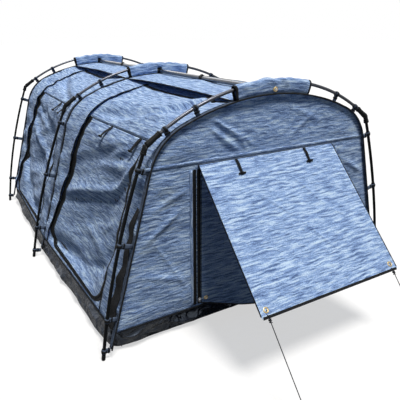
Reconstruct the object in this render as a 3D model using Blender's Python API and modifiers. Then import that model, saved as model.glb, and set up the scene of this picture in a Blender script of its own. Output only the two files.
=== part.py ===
"""A free-standing double swag tent: a canvas body on a coated tub, slung inside three jointed hoops.

Metres, +Z up. The origin is on the ground under the middle hoop. The awning faces -Y.
"""

from math import asin, atan2, cos, pi, radians, sin, sqrt, tan

import bmesh
import bpy
from mathutils import Matrix, Vector
from mathutils.bvhtree import BVHTree

# Layout
BAY_LENGTH = 1.075
FRONT_Y = -BAY_LENGTH
REAR_Y = BAY_LENGTH
SLIP = 0.0003
SEAT = 0.0006
OVERRUN = 0.02

# Hoops: a crown arc, two moulded elbows and two bowed legs, all in one upright plane
POLE_RADIUS = 0.007
CROWN_HEIGHT = 1.055
CROWN_RADIUS = 0.948
CROWN_MOUTH_HALF = 0.520
ELBOW_OUT = 0.071
ELBOW_DROP = 0.0696
FOOT_HALF = 0.806
MIDDLE_FOOT_SPREAD = 0.046
LEG_BOW = 0.026
SOCKET_DEPTH = 0.034
ELBOW_RADIUS = 0.0125
ELBOW_MOUTH_SHARE = 0.8
CROWN_STEPS = 14
LEG_STEPS = 7

# Canvas body: straight leaning sides, a round shoulder and a flat crown arc
CANVAS_THICKNESS = 0.002
CROWN_HANG = 0.052
CANVAS_CROWN_RADIUS = 1.06
SHOULDER_RADIUS = 0.24
CANVAS_INSET = 0.058
CANVAS_LEAN_DEGREES = 15.8
MIDDLE_CANVAS_SPREAD = 0.031
MIDDLE_LEAN_DEGREES = 1.2
BAY_SAG = 0.026
SPINE_SAG = 0.005
FOLD_DEPTH = 0.010
FOLD_COUNT = 2
FOLD_SLANT_SHARE = 0.8

# Shares of the half arch, from the tub seam to the crown, that the side and the shoulder take
SIDE_SHARE = 0.5
SHOULDER_SHARE = 0.16

# Side openings with their flaps and insect mesh
SILL_RISE = 0.018
FLAP_SEAM_SHARE = 0.53
OPENING_HEM = 0.015
OPENING_CORNER = 0.10
FRONT_STRIP_AT_SEAM = 0.12
FRONT_STRIP_AT_SILL = 0.16
FRONT_STRIP_AT_CROWN = 0.10
REAR_STRIP_AT_SEAM = 0.25
REAR_STRIP_AT_SILL = 0.07
REAR_STRIP_AT_CROWN = 0.31
STRIP_LIFT = 0.007
STRIP_STEP = 0.004
ZIP_MARGIN = 0.016
FLAP_GAP = 0.002
FLAP_REACH = 0.10
MESH_THICKNESS = 0.001
MESH_BORDER = 0.010
OPENING_COLUMNS = 6

# Arch bindings, their webbing loops and the pole sleeves
BINDING_WIDTH = 0.025
BINDING_THICKNESS = 0.003
BINDING_TAIL = 0.072
LOOP_WIDTH = 0.020
LOOP_WALL = 0.0022
CROWN_LOOP_SHARES = (0.7115, 0.9615)
LEG_LOOP_SHARES = (0.928, 0.587, 0.217)
FOOT_LOOP_HEIGHT = 0.042
LOOP_SIDES = 8
SLEEVE_HALF = 0.195
SLEEVE_INNER = 0.0134
SLEEVE_WALL = 0.0015
SLEEVE_SEAM_HALF = 0.0100
SLEEVE_STEPS = 8

# Ridge: two poles that plug into sockets hung under the crowns
RIDGE_RADIUS = 0.011
RIDGE_DROP = 0.033
RIDGE_SOCKET_LENGTH = 0.035
RIDGE_SOCKET_WALL = 0.0027
RIDGE_STOP_HALF = 0.004
COLLAR_WALL = 0.0045
COLLAR_LENGTH = 0.028
HUB_WEB = 0.014
SPINE_HALF = 0.195
CLIP_WALL = 0.0037
CLIP_LENGTH = 0.022
CLIP_STRAP = 0.020
CLIP_SHARE = 0.53

# Tub and mattress
TUB_HEIGHT = 0.110
TUB_WALL = 0.003
TUB_BASE_HALF = 0.755
TUB_BASE_MIDDLE_HALF = 0.785
TUB_BASE_INSET = 0.045
TUB_CORNER = 0.05
MATTRESS_THICKNESS = 0.065
MATTRESS_MARGIN = 0.045
MATTRESS_CROWN = 0.008

# Front wall, inner door, awning and what hangs on them
DOOR_HALF = 0.345
DOOR_TOP = 0.745
DOOR_OVERLAP = 0.005
DOOR_SILL = 0.022
DOOR_DROP = 0.070
DOOR_BELLY = 0.050
SLIDER_WIDTH = 0.012
SLIDER_DEPTH = 0.006
SLIDER_HEIGHT = 0.022
SLIDER_REST = 0.142
AWNING_HINGE_HEIGHT = 0.757
AWNING_HALF = 0.361
AWNING_LENGTH = 0.635
AWNING_OPEN_DEGREES = 44.0
AWNING_CORNER = 0.012
PIPING_RADIUS = 0.003
HEM_HEIGHT = 0.012
HEM_THICKNESS = 0.004
EYELET_INSET = 0.030
EYELET_HOLE = 0.0065
EYELET_BORE = 0.005
EYELET_FLANGE = 0.011
EYELET_LIP = 0.0012
CORD_RADIUS = 0.00175
KNOT_RADIUS = 0.006
CORD_SLOPE_DEGREES = 49.0
CORD_STEPS = 8
TOGGLE_LENGTH = 0.070
TOGGLE_STRAP_WIDTH = 0.012
TOGGLE_STRAP = 0.0025
TOGGLE_BAR_RADIUS = 0.004
TOGGLE_BAR_LENGTH = 0.036
AWNING_TOGGLE_X = 0.184
FRONT_TOGGLES_FROM_HOOP = (0.200, 0.515)
REAR_TOGGLES_FROM_HOOP = (0.200, 0.320)


def clear_scene():
    for obj in list(bpy.data.objects):
        bpy.data.objects.remove(obj)
    tent = bpy.data.collections.new("swag_tent")
    cutters = bpy.data.collections.new("cutters")
    cutters.hide_render = True
    for collection in (tent, cutters):
        bpy.context.scene.collection.children.link(collection)
    return tent, cutters


TENT, CUTTERS = clear_scene()


def material(name, colour, roughness, metallic):
    made = bpy.data.materials.new(name)
    made.use_nodes = True
    shader = made.node_tree.nodes["Principled BSDF"]
    shader.inputs["Base Color"].default_value = (*colour, 1)
    shader.inputs["Roughness"].default_value = roughness
    shader.inputs["Metallic"].default_value = metallic
    return made


CANVAS = material("canvas", (0.22, 0.28, 0.42), 0.9, 0.0)
WEBBING = material("webbing", (0.05, 0.06, 0.08), 0.8, 0.0)
MESH = material("insect_mesh", (0.03, 0.03, 0.035), 0.9, 0.0)
COATED = material("coated_cloth", (0.035, 0.04, 0.05), 0.35, 0.0)
FOAM = material("foam", (0.45, 0.46, 0.48), 0.95, 0.0)
ALLOY = material("black_alloy", (0.02, 0.02, 0.022), 0.3, 0.9)
MOULDED = material("moulded_black", (0.015, 0.015, 0.016), 0.45, 0.0)
BRASS = material("brass", (0.70, 0.52, 0.25), 0.3, 1.0)
STEEL = material("nickel", (0.6, 0.6, 0.62), 0.3, 1.0)
CORD = material("guy_cord", (0.04, 0.045, 0.05), 0.8, 0.0)


def add(name, mesh, finish):
    obj = bpy.data.objects.new(name, mesh)
    mesh.materials.clear()
    mesh.materials.append(finish)
    TENT.objects.link(obj)
    return obj


def tool(name, mesh):
    """A cutter, or a shape that is joined to a piece."""
    obj = bpy.data.objects.new(name, mesh)
    obj.hide_render = True
    obj.display_type = "WIRE"
    CUTTERS.objects.link(obj)
    return obj


def boolean(obj, other, operation):
    step = obj.modifiers.new(operation.lower(), "BOOLEAN")
    step.operation = operation
    step.solver = "EXACT"
    step.object = other


def mesh_from(build):
    """A mesh that a function fills through bmesh."""
    made = bmesh.new()
    build(made)
    mesh = bpy.data.meshes.new("shape")
    made.to_mesh(mesh)
    made.free()
    return mesh


def grid_triangles(rows, is_open=None):
    """Triangles over rows of points, as index triples; each cell splits on its shorter diagonal."""
    width = len(rows[0])
    triangles = []
    for i in range(len(rows) - 1):
        for j in range(width - 1):
            if is_open and is_open(i, j):
                continue
            near = i * width + j
            corners = (near, near + width, near + width + 1, near + 1)
            first = (rows[i][j] - rows[i + 1][j + 1]).length
            second = (rows[i + 1][j] - rows[i][j + 1]).length
            turn = 0 if first <= second else 1
            a, b, c, d = corners[turn:] + corners[:turn]
            triangles += [(a, b, c), (a, c, d)]
    return triangles


def grid_mesh(rows, is_open=None):
    """A surface through rows of points; is_open(i, j) leaves a cell out."""

    def build(made):
        points = [made.verts.new(point) for row in rows for point in row]
        for triangle in grid_triangles(rows, is_open):
            made.faces.new([points[index] for index in triangle])
        loose = [vertex for vertex in made.verts if not vertex.link_faces]
        bmesh.ops.delete(made, geom=loose, context="VERTS")

    return mesh_from(build)


def thicken(obj, thickness, offset=-1):
    step = obj.modifiers.new("thickness", "SOLIDIFY")
    step.thickness = thickness
    step.offset = offset
    step.use_even_offset = True
    return obj


def cylinder_mesh(radius, length, sides, turn):
    """A cylinder along the Z axis of the given turn, centred on its origin."""

    def build(made):
        bmesh.ops.create_cone(
            made, cap_ends=True, segments=sides, radius1=radius, radius2=radius, depth=length, matrix=turn
        )

    return mesh_from(build)


def box_mesh(low, high):
    centre = (Vector(low) + Vector(high)) / 2
    size = Vector(high) - Vector(low)

    def build(made):
        bmesh.ops.create_cube(made, size=1, matrix=Matrix.Translation(centre) @ Matrix.Diagonal((*size, 1)))

    return mesh_from(build)


def joined_mesh(meshes):
    def build(made):
        for mesh in meshes:
            made.from_mesh(mesh)

    return mesh_from(build)


ALONG_X = Matrix.Rotation(pi / 2, 4, "Y")
ALONG_Y = Matrix.Rotation(pi / 2, 4, "X")


def curve_object(points, radius, shares=None):
    curve = bpy.data.curves.new("path", "CURVE")
    curve.dimensions = "3D"
    curve.bevel_depth = radius
    curve.bevel_resolution = 2
    curve.use_fill_caps = True
    spline = curve.splines.new("POLY")
    spline.points.add(len(points) - 1)
    for index, point in enumerate(points):
        spline.points[index].co = (*point, 1)
        spline.points[index].radius = shares[index] if shares else 1
    return bpy.data.objects.new("path", curve)


def tube(name, points, radius, finish):
    """A tube that stays a curve object."""
    obj = curve_object(points, radius)
    obj.name = name
    obj.data.materials.append(finish)
    TENT.objects.link(obj)
    return obj


def mesh_of_curve(obj):
    """The curve's shape as a mesh with its caps welded; the curve is removed."""
    CUTTERS.objects.link(obj)
    seen = obj.evaluated_get(bpy.context.evaluated_depsgraph_get())
    mesh = bpy.data.meshes.new_from_object(seen)
    bpy.data.objects.remove(obj)
    made = bmesh.new()
    made.from_mesh(mesh)
    bmesh.ops.remove_doubles(made, verts=made.verts, dist=SLIP / 10)
    made.to_mesh(mesh)
    made.free()
    return mesh


def tube_mesh(points, radius, shares=None):
    return mesh_of_curve(curve_object(points, radius, shares))


def plate_mesh(outlines, thickness):
    """A flat plate from closed 2D outlines; the inner ones are holes."""
    curve = bpy.data.curves.new("outline", "CURVE")
    curve.dimensions = "2D"
    curve.fill_mode = "BOTH"
    curve.extrude = thickness / 2
    for outline in outlines:
        spline = curve.splines.new("POLY")
        spline.points.add(len(outline) - 1)
        for index, (across, up) in enumerate(outline):
            spline.points[index].co = (across, up, 0, 1)
        spline.use_cyclic_u = True
    return mesh_of_curve(bpy.data.objects.new("outline", curve))


def circle(across, up, radius, count, start=0.0):
    turns = [start + 2 * pi * index / count for index in range(count)]
    return [(across + radius * cos(turn), up + radius * sin(turn)) for turn in turns]


def mix(low, high, share):
    return low + (high - low) * share


# The hoops


def crown_point(angle, y):
    """A point of the crown arc; the angle is taken from the top, positive to +X."""
    across = CROWN_RADIUS * sin(angle)
    up = CROWN_HEIGHT - CROWN_RADIUS + CROWN_RADIUS * cos(angle)
    return Vector((across, y, up))


MOUTH_ANGLE = asin(CROWN_MOUTH_HALF / CROWN_RADIUS)
CROWN_END_ANGLE = MOUTH_ANGLE + SOCKET_DEPTH / CROWN_RADIUS
LEG_TOP_HALF = CROWN_MOUTH_HALF + ELBOW_OUT
LEG_TOP_HEIGHT = CROWN_HEIGHT - CROWN_RADIUS * (1 - cos(MOUTH_ANGLE)) - ELBOW_DROP
CANVAS_CROWN_HEIGHT = CROWN_HEIGHT - CROWN_HANG
CANVAS_FOOT_HALF = FOOT_HALF - CANVAS_INSET
RIDGE_HEIGHT = CROWN_HEIGHT - RIDGE_DROP


def foot_half_of(y):
    return FOOT_HALF + (MIDDLE_FOOT_SPREAD if abs(y) < BAY_LENGTH / 2 else 0)


class Leg:
    """The bowed leg of one hoop on +X: an arc from the ground to the elbow."""

    def __init__(self, y):
        foot = Vector((foot_half_of(y), 0))
        top = Vector((LEG_TOP_HALF, LEG_TOP_HEIGHT))
        half_chord = (top - foot).length / 2
        self.y = y
        self.radius = (half_chord**2 + LEG_BOW**2) / (2 * LEG_BOW)
        along = (top - foot).normalized()
        outward = Vector((along.y, -along.x))
        middle = (foot + top) / 2
        self.centre = middle - outward * (self.radius - LEG_BOW)
        self.low_angle = self.angle_of(foot)
        self.high_angle = self.angle_of(top)
        lift = POLE_RADIUS * sin(abs(self.low_angle)) + SLIP
        self.start_angle = self.low_angle + lift / self.radius

    def angle_of(self, point):
        return atan2(point.y - self.centre.y, point.x - self.centre.x)

    def point(self, angle, side=1):
        across = self.centre.x + self.radius * cos(angle)
        up = self.centre.y + self.radius * sin(angle)
        return Vector((side * across, self.y, up))

    def tangent(self, angle, side=1):
        return Vector((-side * sin(angle), 0, cos(angle)))


def arc_points(point_at, start, end, steps):
    return [point_at(mix(start, end, index / steps)) for index in range(steps + 1)]


def crown_path(y):
    """The crown pole's centre line; its last piece at each end is the one in the elbow."""
    between = arc_points(lambda angle: crown_point(angle, y), -MOUTH_ANGLE, MOUTH_ANGLE, CROWN_STEPS)
    return [crown_point(-CROWN_END_ANGLE, y), *between, crown_point(CROWN_END_ANGLE, y)]


def leg_path(y, side):
    leg = Leg(y)
    end = leg.high_angle + SOCKET_DEPTH / leg.radius
    free = arc_points(lambda angle: leg.point(angle, side), leg.start_angle, leg.high_angle, LEG_STEPS)
    return [*free, leg.point(end, side)]


def spot_on(points, axis, value):
    """Where a path passes a coordinate on its way up or across, with its direction there."""
    for low, high in zip(points, points[1:]):
        if (low[axis] - value) * (high[axis] - value) <= 0:
            share = (value - low[axis]) / (high[axis] - low[axis])
            return low.lerp(high, share), (high - low).normalized()
    return points[-1], (points[-1] - points[-2]).normalized()


def make_crown(name, y):
    tube(name, crown_path(y), POLE_RADIUS, ALLOY)


def make_leg(name, y, side):
    tube(name, leg_path(y, side), POLE_RADIUS, ALLOY)


def make_elbow(name, y, side):
    """A bent, swollen moulding with a socket for the crown and one for the leg."""
    leg = Leg(y)
    leg_end = leg.high_angle + SOCKET_DEPTH / leg.radius

    def on_crown(angle):
        return crown_point(side * angle, y)

    def on_leg(angle):
        return leg.point(angle, side)

    crown_arm = [on_crown(MOUTH_ANGLE), on_crown(CROWN_END_ANGLE)]
    leg_arm = [on_leg(leg_end), on_leg(leg.high_angle)]
    crown_way = Vector((side * cos(CROWN_END_ANGLE), 0, -sin(CROWN_END_ANGLE)))
    leg_way = -leg.tangent(leg_end, side)
    gap = leg_arm[0] - crown_arm[-1]
    turn = crown_way.x * leg_way.z - crown_way.z * leg_way.x
    reach = (gap.x * leg_way.z - gap.z * leg_way.x) / turn
    corner = crown_arm[-1] + crown_way * reach
    bend = []
    for share in (0.25, 0.5, 0.75):
        first = crown_arm[-1].lerp(corner, share)
        second = corner.lerp(leg_arm[0], share)
        bend.append(first.lerp(second, share))
    path = crown_arm + bend + leg_arm
    half = (len(path) - 1) / 2
    shares = [mix(1, ELBOW_MOUTH_SHARE, abs(index - half) / half) for index in range(len(path))]
    elbow = add(name, tube_mesh(path, ELBOW_RADIUS, shares), MOULDED)
    bore = POLE_RADIUS + SLIP
    outside_crown = MOUTH_ANGLE - OVERRUN / CROWN_RADIUS
    outside_leg = leg.high_angle - OVERRUN / leg.radius
    crown_stop = CROWN_END_ANGLE + SLIP / CROWN_RADIUS
    leg_stop = leg_end + SLIP / leg.radius
    crown_bore = [on_crown(outside_crown), on_crown(MOUTH_ANGLE), on_crown(crown_stop)]
    leg_bore = [on_leg(outside_leg), on_leg(leg.high_angle), on_leg(leg_stop)]
    for points in (crown_bore, leg_bore):
        boolean(elbow, tool(name + "_bore", tube_mesh(points, bore)), "DIFFERENCE")


# The canvas surface


def spread_of(y):
    """0 at the end hoops and 1 at the middle hoop."""
    return max(0.0, 1 - abs(y) / BAY_LENGTH)


class Arch:
    """The outline of the canvas body at one station along the tent."""

    def __init__(self, y):
        spread = spread_of(y)
        self.lean = radians(CANVAS_LEAN_DEGREES + MIDDLE_LEAN_DEGREES * spread)
        foot_height = TUB_HEIGHT + SEAT + CANVAS_THICKNESS * sin(self.lean)
        self.foot = Vector((CANVAS_FOOT_HALF + MIDDLE_CANVAS_SPREAD * spread, foot_height))
        self.up_side = Vector((-sin(self.lean), cos(self.lean)))
        self.out_side = Vector((cos(self.lean), sin(self.lean)))
        self.crown_centre = Vector((0, CANVAS_CROWN_HEIGHT - CANVAS_CROWN_RADIUS))
        inner = self.foot - self.out_side * SHOULDER_RADIUS
        offset = inner - self.crown_centre
        lead = offset.dot(self.up_side)
        reach = offset.length_squared - (CANVAS_CROWN_RADIUS - SHOULDER_RADIUS) ** 2
        self.side_length = -lead + sqrt(lead**2 - reach)
        self.shoulder = inner + self.up_side * self.side_length
        to_shoulder = self.shoulder - self.crown_centre
        self.crown_angle = atan2(to_shoulder.x, to_shoulder.y)

    def at(self, share):
        """Point and outward normal; the share runs from 0 at the tub to 1 at the crown."""
        if share <= SIDE_SHARE:
            return self.foot + self.up_side * self.side_length * (share / SIDE_SHARE), self.out_side
        if share <= SIDE_SHARE + SHOULDER_SHARE:
            part = (share - SIDE_SHARE) / SHOULDER_SHARE
            angle = mix(self.lean, pi / 2 - self.crown_angle, part)
            normal = Vector((cos(angle), sin(angle)))
            return self.shoulder + normal * SHOULDER_RADIUS, normal
        part = (share - SIDE_SHARE - SHOULDER_SHARE) / (1 - SIDE_SHARE - SHOULDER_SHARE)
        angle = mix(self.crown_angle, 0, part)
        normal = Vector((sin(angle), cos(angle)))
        return self.crown_centre + normal * CANVAS_CROWN_RADIUS, normal

    def share_at_half(self, half):
        """The share at a given half width on the crown arc."""
        part = 1 - asin(half / CANVAS_CROWN_RADIUS) / self.crown_angle
        return mix(SIDE_SHARE + SHOULDER_SHARE, 1, part)


def bay_share(y):
    """Where a station lies between its two hoops, from 0 to 1."""
    return (y % BAY_LENGTH) / BAY_LENGTH


def slack(share, y, sag):
    """How far the canvas hangs in between the hoops: a sag with soft slanting folds on it."""
    along = bay_share(y)
    between = 4 * along * (1 - along)
    above_tub = min(1.0, share / (SIDE_SHARE / 2))
    wave = sin(2 * pi * FOLD_COUNT * (along + FOLD_SLANT_SHARE * share))
    clear_of_spine = max(0.0, min(1.0, (0.9 - share) / 0.2))
    fold = FOLD_DEPTH * between * above_tub * clear_of_spine * (1 + wave) / 2
    return sag * between * above_tub + (fold if sag == BAY_SAG else 0)


def canvas_point(side, share, y, lift=0.0, sag=BAY_SAG):
    point, normal = Arch(y).at(share)
    point = point + normal * (lift - slack(share, y, sag))
    return Vector((side * point.x, y, point.y))


END_ARCH = Arch(FRONT_Y)
SILL = SIDE_SHARE * SILL_RISE / END_ARCH.side_length
FLAP_SEAM = SIDE_SHARE + SHOULDER_SHARE * FLAP_SEAM_SHARE
SHARE_PER_METRE = SIDE_SHARE / END_ARCH.side_length
SHOULDER_SPAN = SHOULDER_RADIUS * (pi / 2 - END_ARCH.crown_angle - END_ARCH.lean)
SHOULDER_PER_METRE = SHOULDER_SHARE / SHOULDER_SPAN
SPINE_EDGE = END_ARCH.share_at_half(SPINE_HALF)
CORNER_SHARES = (0.2, 0.5, 1.0)
SIDE_ROW_SHARES = (0.42, 0.62, 0.82, 1.0)


def opening_rows():
    """Arch shares from the sill of a side opening up to its seam."""
    corner = [SILL + SHARE_PER_METRE * OPENING_CORNER * part for part in CORNER_SHARES]
    side = [SIDE_SHARE * part for part in SIDE_ROW_SHARES]
    return [SILL, *corner, *side, mix(SIDE_SHARE, FLAP_SEAM, 0.5), FLAP_SEAM]


OPENING_ROWS = opening_rows()
HEM_ROW = FLAP_SEAM + SHOULDER_PER_METRE * OPENING_HEM
CROWN_ROWS = [
    HEM_ROW,
    SIDE_SHARE + SHOULDER_SHARE,
    mix(SIDE_SHARE + SHOULDER_SHARE, SPINE_EDGE, 0.5),
    SPINE_EDGE,
    mix(SPINE_EDGE, 1, 0.5),
]


ARCH_SHARES = [0.0, *OPENING_ROWS, *CROWN_ROWS, 1.0]


def strip_widths(share):
    """Widths of the storm strips behind the bay's front hoop and before its rear hoop."""
    if share <= FLAP_SEAM:
        part = (share - SILL) / (FLAP_SEAM - SILL)
        front = mix(FRONT_STRIP_AT_SILL, FRONT_STRIP_AT_SEAM, part)
        rear = mix(REAR_STRIP_AT_SILL, REAR_STRIP_AT_SEAM, part)
        return front, rear
    part = (share - FLAP_SEAM) / (1 - FLAP_SEAM)
    front = mix(FRONT_STRIP_AT_SEAM, FRONT_STRIP_AT_CROWN, part)
    rear = mix(REAR_STRIP_AT_SEAM, REAR_STRIP_AT_CROWN, part)
    return front, rear


def corner_inset(share):
    """How far a rounded lower corner draws the opening's side in, along chords between the rows."""
    knots = [0.0, *CORNER_SHARES]
    insets = [OPENING_CORNER * (1 - sqrt(1 - (1 - knot) ** 2)) for knot in knots]
    above = max(0.0, (share - SILL) / SHARE_PER_METRE / OPENING_CORNER)
    for index in range(len(CORNER_SHARES)):
        if above <= knots[index + 1]:
            part = (above - knots[index]) / (knots[index + 1] - knots[index])
            return mix(insets[index], insets[index + 1], part)
    return 0.0


def opening_edges(share, bay_front, margin=0.0):
    """Front and rear edge of the opening at one row, drawn in by the margin."""
    front, rear = strip_widths(share)
    inset = corner_inset(share) if share < FLAP_SEAM else 0.0
    low = bay_front + front + ZIP_MARGIN + inset + margin
    high = bay_front + BAY_LENGTH - rear - ZIP_MARGIN - inset - margin
    return low, high


def opening_columns(low, high):
    return [mix(low, high, index / OPENING_COLUMNS) for index in range(OPENING_COLUMNS + 1)]


def strip_lift(share):
    """The storm strips stand proud, but lie flat at the tub and under the spine cover."""
    rise = min(1.0, max(0.0, share / SILL))
    fall = min(1.0, max(0.0, (SPINE_EDGE - share) / (SPINE_EDGE - FLAP_SEAM) * 3))
    return STRIP_LIFT * min(rise, fall)


def bay_row(side, share, bay_front):
    """One row of the bay's canvas from its front hoop to its rear hoop."""
    front, rear = strip_widths(share)
    low, high = opening_edges(share, bay_front)
    start = bay_front + SLIP
    end = bay_front + BAY_LENGTH - SLIP
    flat = BINDING_WIDTH / 2 + STRIP_STEP
    lift = strip_lift(share)
    stations = [(start, 0.0), (bay_front + flat, 0.0)]
    stations += [(bay_front + front - STRIP_STEP, lift), (bay_front + front, 0.0)]
    stations += [(y, 0.0) for y in opening_columns(low, high)]
    stations += [(bay_front + BAY_LENGTH - rear, 0.0), (bay_front + BAY_LENGTH - rear + STRIP_STEP, lift)]
    stations += [(bay_front + BAY_LENGTH - flat, 0.0), (end, 0.0)]
    return [canvas_point(side, share, y, lift_here) for y, lift_here in stations]


FIRST_OPENING_COLUMN = 4


def make_bay(name, bay_front):
    shares = [0.0, *OPENING_ROWS, *CROWN_ROWS]
    left = [(-1, share) for share in shares]
    right = [(1, share) for share in reversed(shares)]
    places = [*left, (1, 1.0), *right]
    rows = [bay_row(side, share, bay_front) for side, share in places]
    sill_row = 1
    seam_row = sill_row + len(OPENING_ROWS) - 1
    last = len(rows) - 1

    def is_open(i, j):
        in_rows = sill_row <= i < seam_row or sill_row <= last - 1 - i < seam_row
        return in_rows and FIRST_OPENING_COLUMN <= j < FIRST_OPENING_COLUMN + OPENING_COLUMNS

    thicken(add(name, grid_mesh(rows, is_open), CANVAS), CANVAS_THICKNESS)


def side_rows(side, shares, row_at):
    """Rows that run so that their surface faces out on either side."""
    rows = [row_at(share) for share in shares]
    return rows if side < 0 else rows[::-1]


def hinge_line(side, bay_front):
    """The two ends of a flap's hinge, on the outer face of the canvas at the seam."""
    low, high = opening_edges(FLAP_SEAM, bay_front)
    return canvas_point(side, FLAP_SEAM, low), canvas_point(side, FLAP_SEAM, high)


def hinge_empty(name, point, way):
    """An empty on a joint's axis, with its X along the axis."""
    empty = bpy.data.objects.new(name, None)
    empty.matrix_world = Matrix.Translation(point) @ way.to_track_quat("X", "Z").to_matrix().to_4x4()
    TENT.objects.link(empty)
    return empty


def carry(obj, empty):
    """Hangs a piece that was built in place on an empty."""
    obj.parent = empty
    obj.matrix_parent_inverse = empty.matrix_world.inverted()
    return obj


def flap_row(side, share, bay_front):
    low, high = opening_edges(share, bay_front, FLAP_GAP)
    return [canvas_point(side, share, y) for y in opening_columns(low, high)]


def flap_facets(side, bay_front):
    """The flap's outer face, which its toggles lie on."""
    rows = [flap_row(side, share, bay_front) for share in OPENING_ROWS]
    points = [point for row in rows for point in row]
    return BVHTree.FromPolygons(points, grid_triangles(rows))


def point_over(facets, side, share, y, lift):
    spot, normal = Arch(y).at(share)
    outward = Vector((side * normal.x, 0, normal.y))
    above = Vector((side * spot.x, y, spot.y)) + outward * FLAP_REACH
    hit = facets.ray_cast(above, -outward)[0]
    return hit + outward * lift


def make_flap(name, side, bay_front, hinge):
    shares = list(OPENING_ROWS)
    shares[0] += SHARE_PER_METRE * FLAP_GAP
    shares[-1] -= SHOULDER_PER_METRE * (SEAT + SLIP)
    rows = side_rows(side, shares, lambda share: flap_row(side, share, bay_front))
    flap = add(name, grid_mesh(rows), CANVAS)
    carry(thicken(flap, CANVAS_THICKNESS), hinge)


def make_side_mesh(name, side, bay_front):
    """Insect mesh sewn inside the opening, lapping its edges."""
    lap = SHARE_PER_METRE * MESH_BORDER
    shares = [SILL - lap, *OPENING_ROWS, FLAP_SEAM + SHOULDER_PER_METRE * MESH_BORDER]
    depth = -(CANVAS_THICKNESS + SEAT)

    def row_at(share):
        inside = min(max(share, SILL), FLAP_SEAM)
        low, high = opening_edges(inside, bay_front)
        stations = [low - MESH_BORDER, *opening_columns(low, high), high + MESH_BORDER]
        return [canvas_point(side, share, y, depth) for y in stations]

    screen = add(name, grid_mesh(side_rows(side, shares, row_at)), MESH)
    thicken(screen, MESH_THICKNESS)


def make_spine_cover(name, bay_front):
    """The raised cover along the roof, with the strap and clip that hang it from the ridge pole."""
    low = bay_front + BINDING_WIDTH / 2 + SEAT
    high = bay_front + BAY_LENGTH - BINDING_WIDTH / 2 - SEAT
    stations = [mix(low, high, index / 6) for index in range(7)]
    lift = SEAT + CANVAS_THICKNESS
    middle_share = mix(SPINE_EDGE, 1, 0.5)
    places = [(-1, SPINE_EDGE), (-1, middle_share), (1, 1.0), (1, middle_share), (1, SPINE_EDGE)]
    rows = [[canvas_point(side, share, y, lift, SPINE_SAG) for y in stations] for side, share in places]
    cover = thicken(add(name, grid_mesh(rows), CANVAS), CANVAS_THICKNESS)
    clip_y = bay_front + BAY_LENGTH * CLIP_SHARE
    centre = Vector((0, clip_y, RIDGE_HEIGHT))
    outer = RIDGE_RADIUS + SLIP + CLIP_WALL
    ring = cylinder_mesh(outer, CLIP_LENGTH, 12, Matrix.Translation(centre) @ ALONG_Y)
    top = canvas_point(1, 1.0, clip_y, lift, SPINE_SAG).z
    half = CLIP_STRAP / 2
    low_corner = (-half, clip_y - half, top - CANVAS_THICKNESS / 2)
    strap = box_mesh(low_corner, (half, clip_y + half, RIDGE_HEIGHT - RIDGE_RADIUS - CLIP_WALL / 2))
    bore_turn = Matrix.Translation(centre) @ ALONG_Y
    bore = cylinder_mesh(RIDGE_RADIUS + SLIP, CLIP_LENGTH + OVERRUN, 12, bore_turn)
    boolean(cover, tool(name + "_strap", strap), "UNION")
    boolean(cover, tool(name + "_clip", ring), "UNION")
    boolean(cover, tool(name + "_bore", bore), "DIFFERENCE")


# Bindings with their loops, and sleeves


def reach_to_canvas(point, inward):
    """Distance from a pole's centre to the canvas along a line in the hoop's plane."""
    arch = Arch(point.y)
    pole = Vector((abs(point.x), point.z))
    spots = [arch.at(share)[0] - pole for share in ARCH_SHARES]
    for low, high in zip(spots, spots[1:]):
        low_miss = low.x * inward.y - low.y * inward.x
        high_miss = high.x * inward.y - high.y * inward.x
        if low_miss * high_miss <= 0:
            share = low_miss / (low_miss - high_miss)
            return low.lerp(high, share).dot(inward)
    return spots[-1].dot(inward)


def loop_mesh(spot, tangent, side):
    """A webbing loop round the pole with its tail down to the binding, its width along the pole.

    The spot and the direction are those of the right-hand side.
    """
    point = Vector((side * spot.x, spot.y, spot.z))
    inward = Vector((-tangent.z, tangent.x)) if tangent.z > 0 else Vector((tangent.z, -tangent.x))
    inward = Vector((-abs(inward.x), -abs(inward.y))) if abs(tangent.x) > abs(tangent.z) else inward
    reach = reach_to_canvas(point, inward)
    if point.z < TUB_HEIGHT:
        reach = tail_reach(point, inward)
    inner = (POLE_RADIUS + SEAT) / cos(pi / LOOP_SIDES)
    outer = inner + LOOP_WALL
    half = LOOP_WALL / 2
    opening = asin(half / outer)
    count = LOOP_SIDES
    start = -pi / 2 + opening
    sweep = 2 * pi - 2 * opening
    rim = [start + sweep * index / count for index in range(count + 1)]
    outline = [(outer * cos(turn), outer * sin(turn)) for turn in rim]
    end = -(reach - SEAT - BINDING_THICKNESS / 2)
    outline += [(-half, end), (half, end)]
    plate = plate_mesh([outline, circle(0, 0, inner, LOOP_SIDES, pi / LOOP_SIDES)], LOOP_WIDTH)
    outward = Vector((-side * inward.x, 0, -inward.y))
    across = Vector((0, 1, 0))
    along = across.cross(outward)
    turn = Matrix((across, outward, along)).transposed().to_4x4()
    plate.transform(Matrix.Translation(point) @ turn)
    return plate


def tail_point(y, share, lift=0.0):
    """A point on the binding's tail, which runs on down the canvas line below the tub seam."""
    arch = Arch(y)
    spot = arch.foot - arch.up_side * BINDING_TAIL * share + arch.out_side * lift
    return spot


def tail_reach(point, inward):
    arch = Arch(point.y)
    offset = arch.foot - Vector((abs(point.x), point.z))
    return offset.dot(arch.out_side) / inward.dot(arch.out_side)


def binding_columns(y):
    half = BINDING_WIDTH / 2
    return (y - half, y + half)


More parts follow.
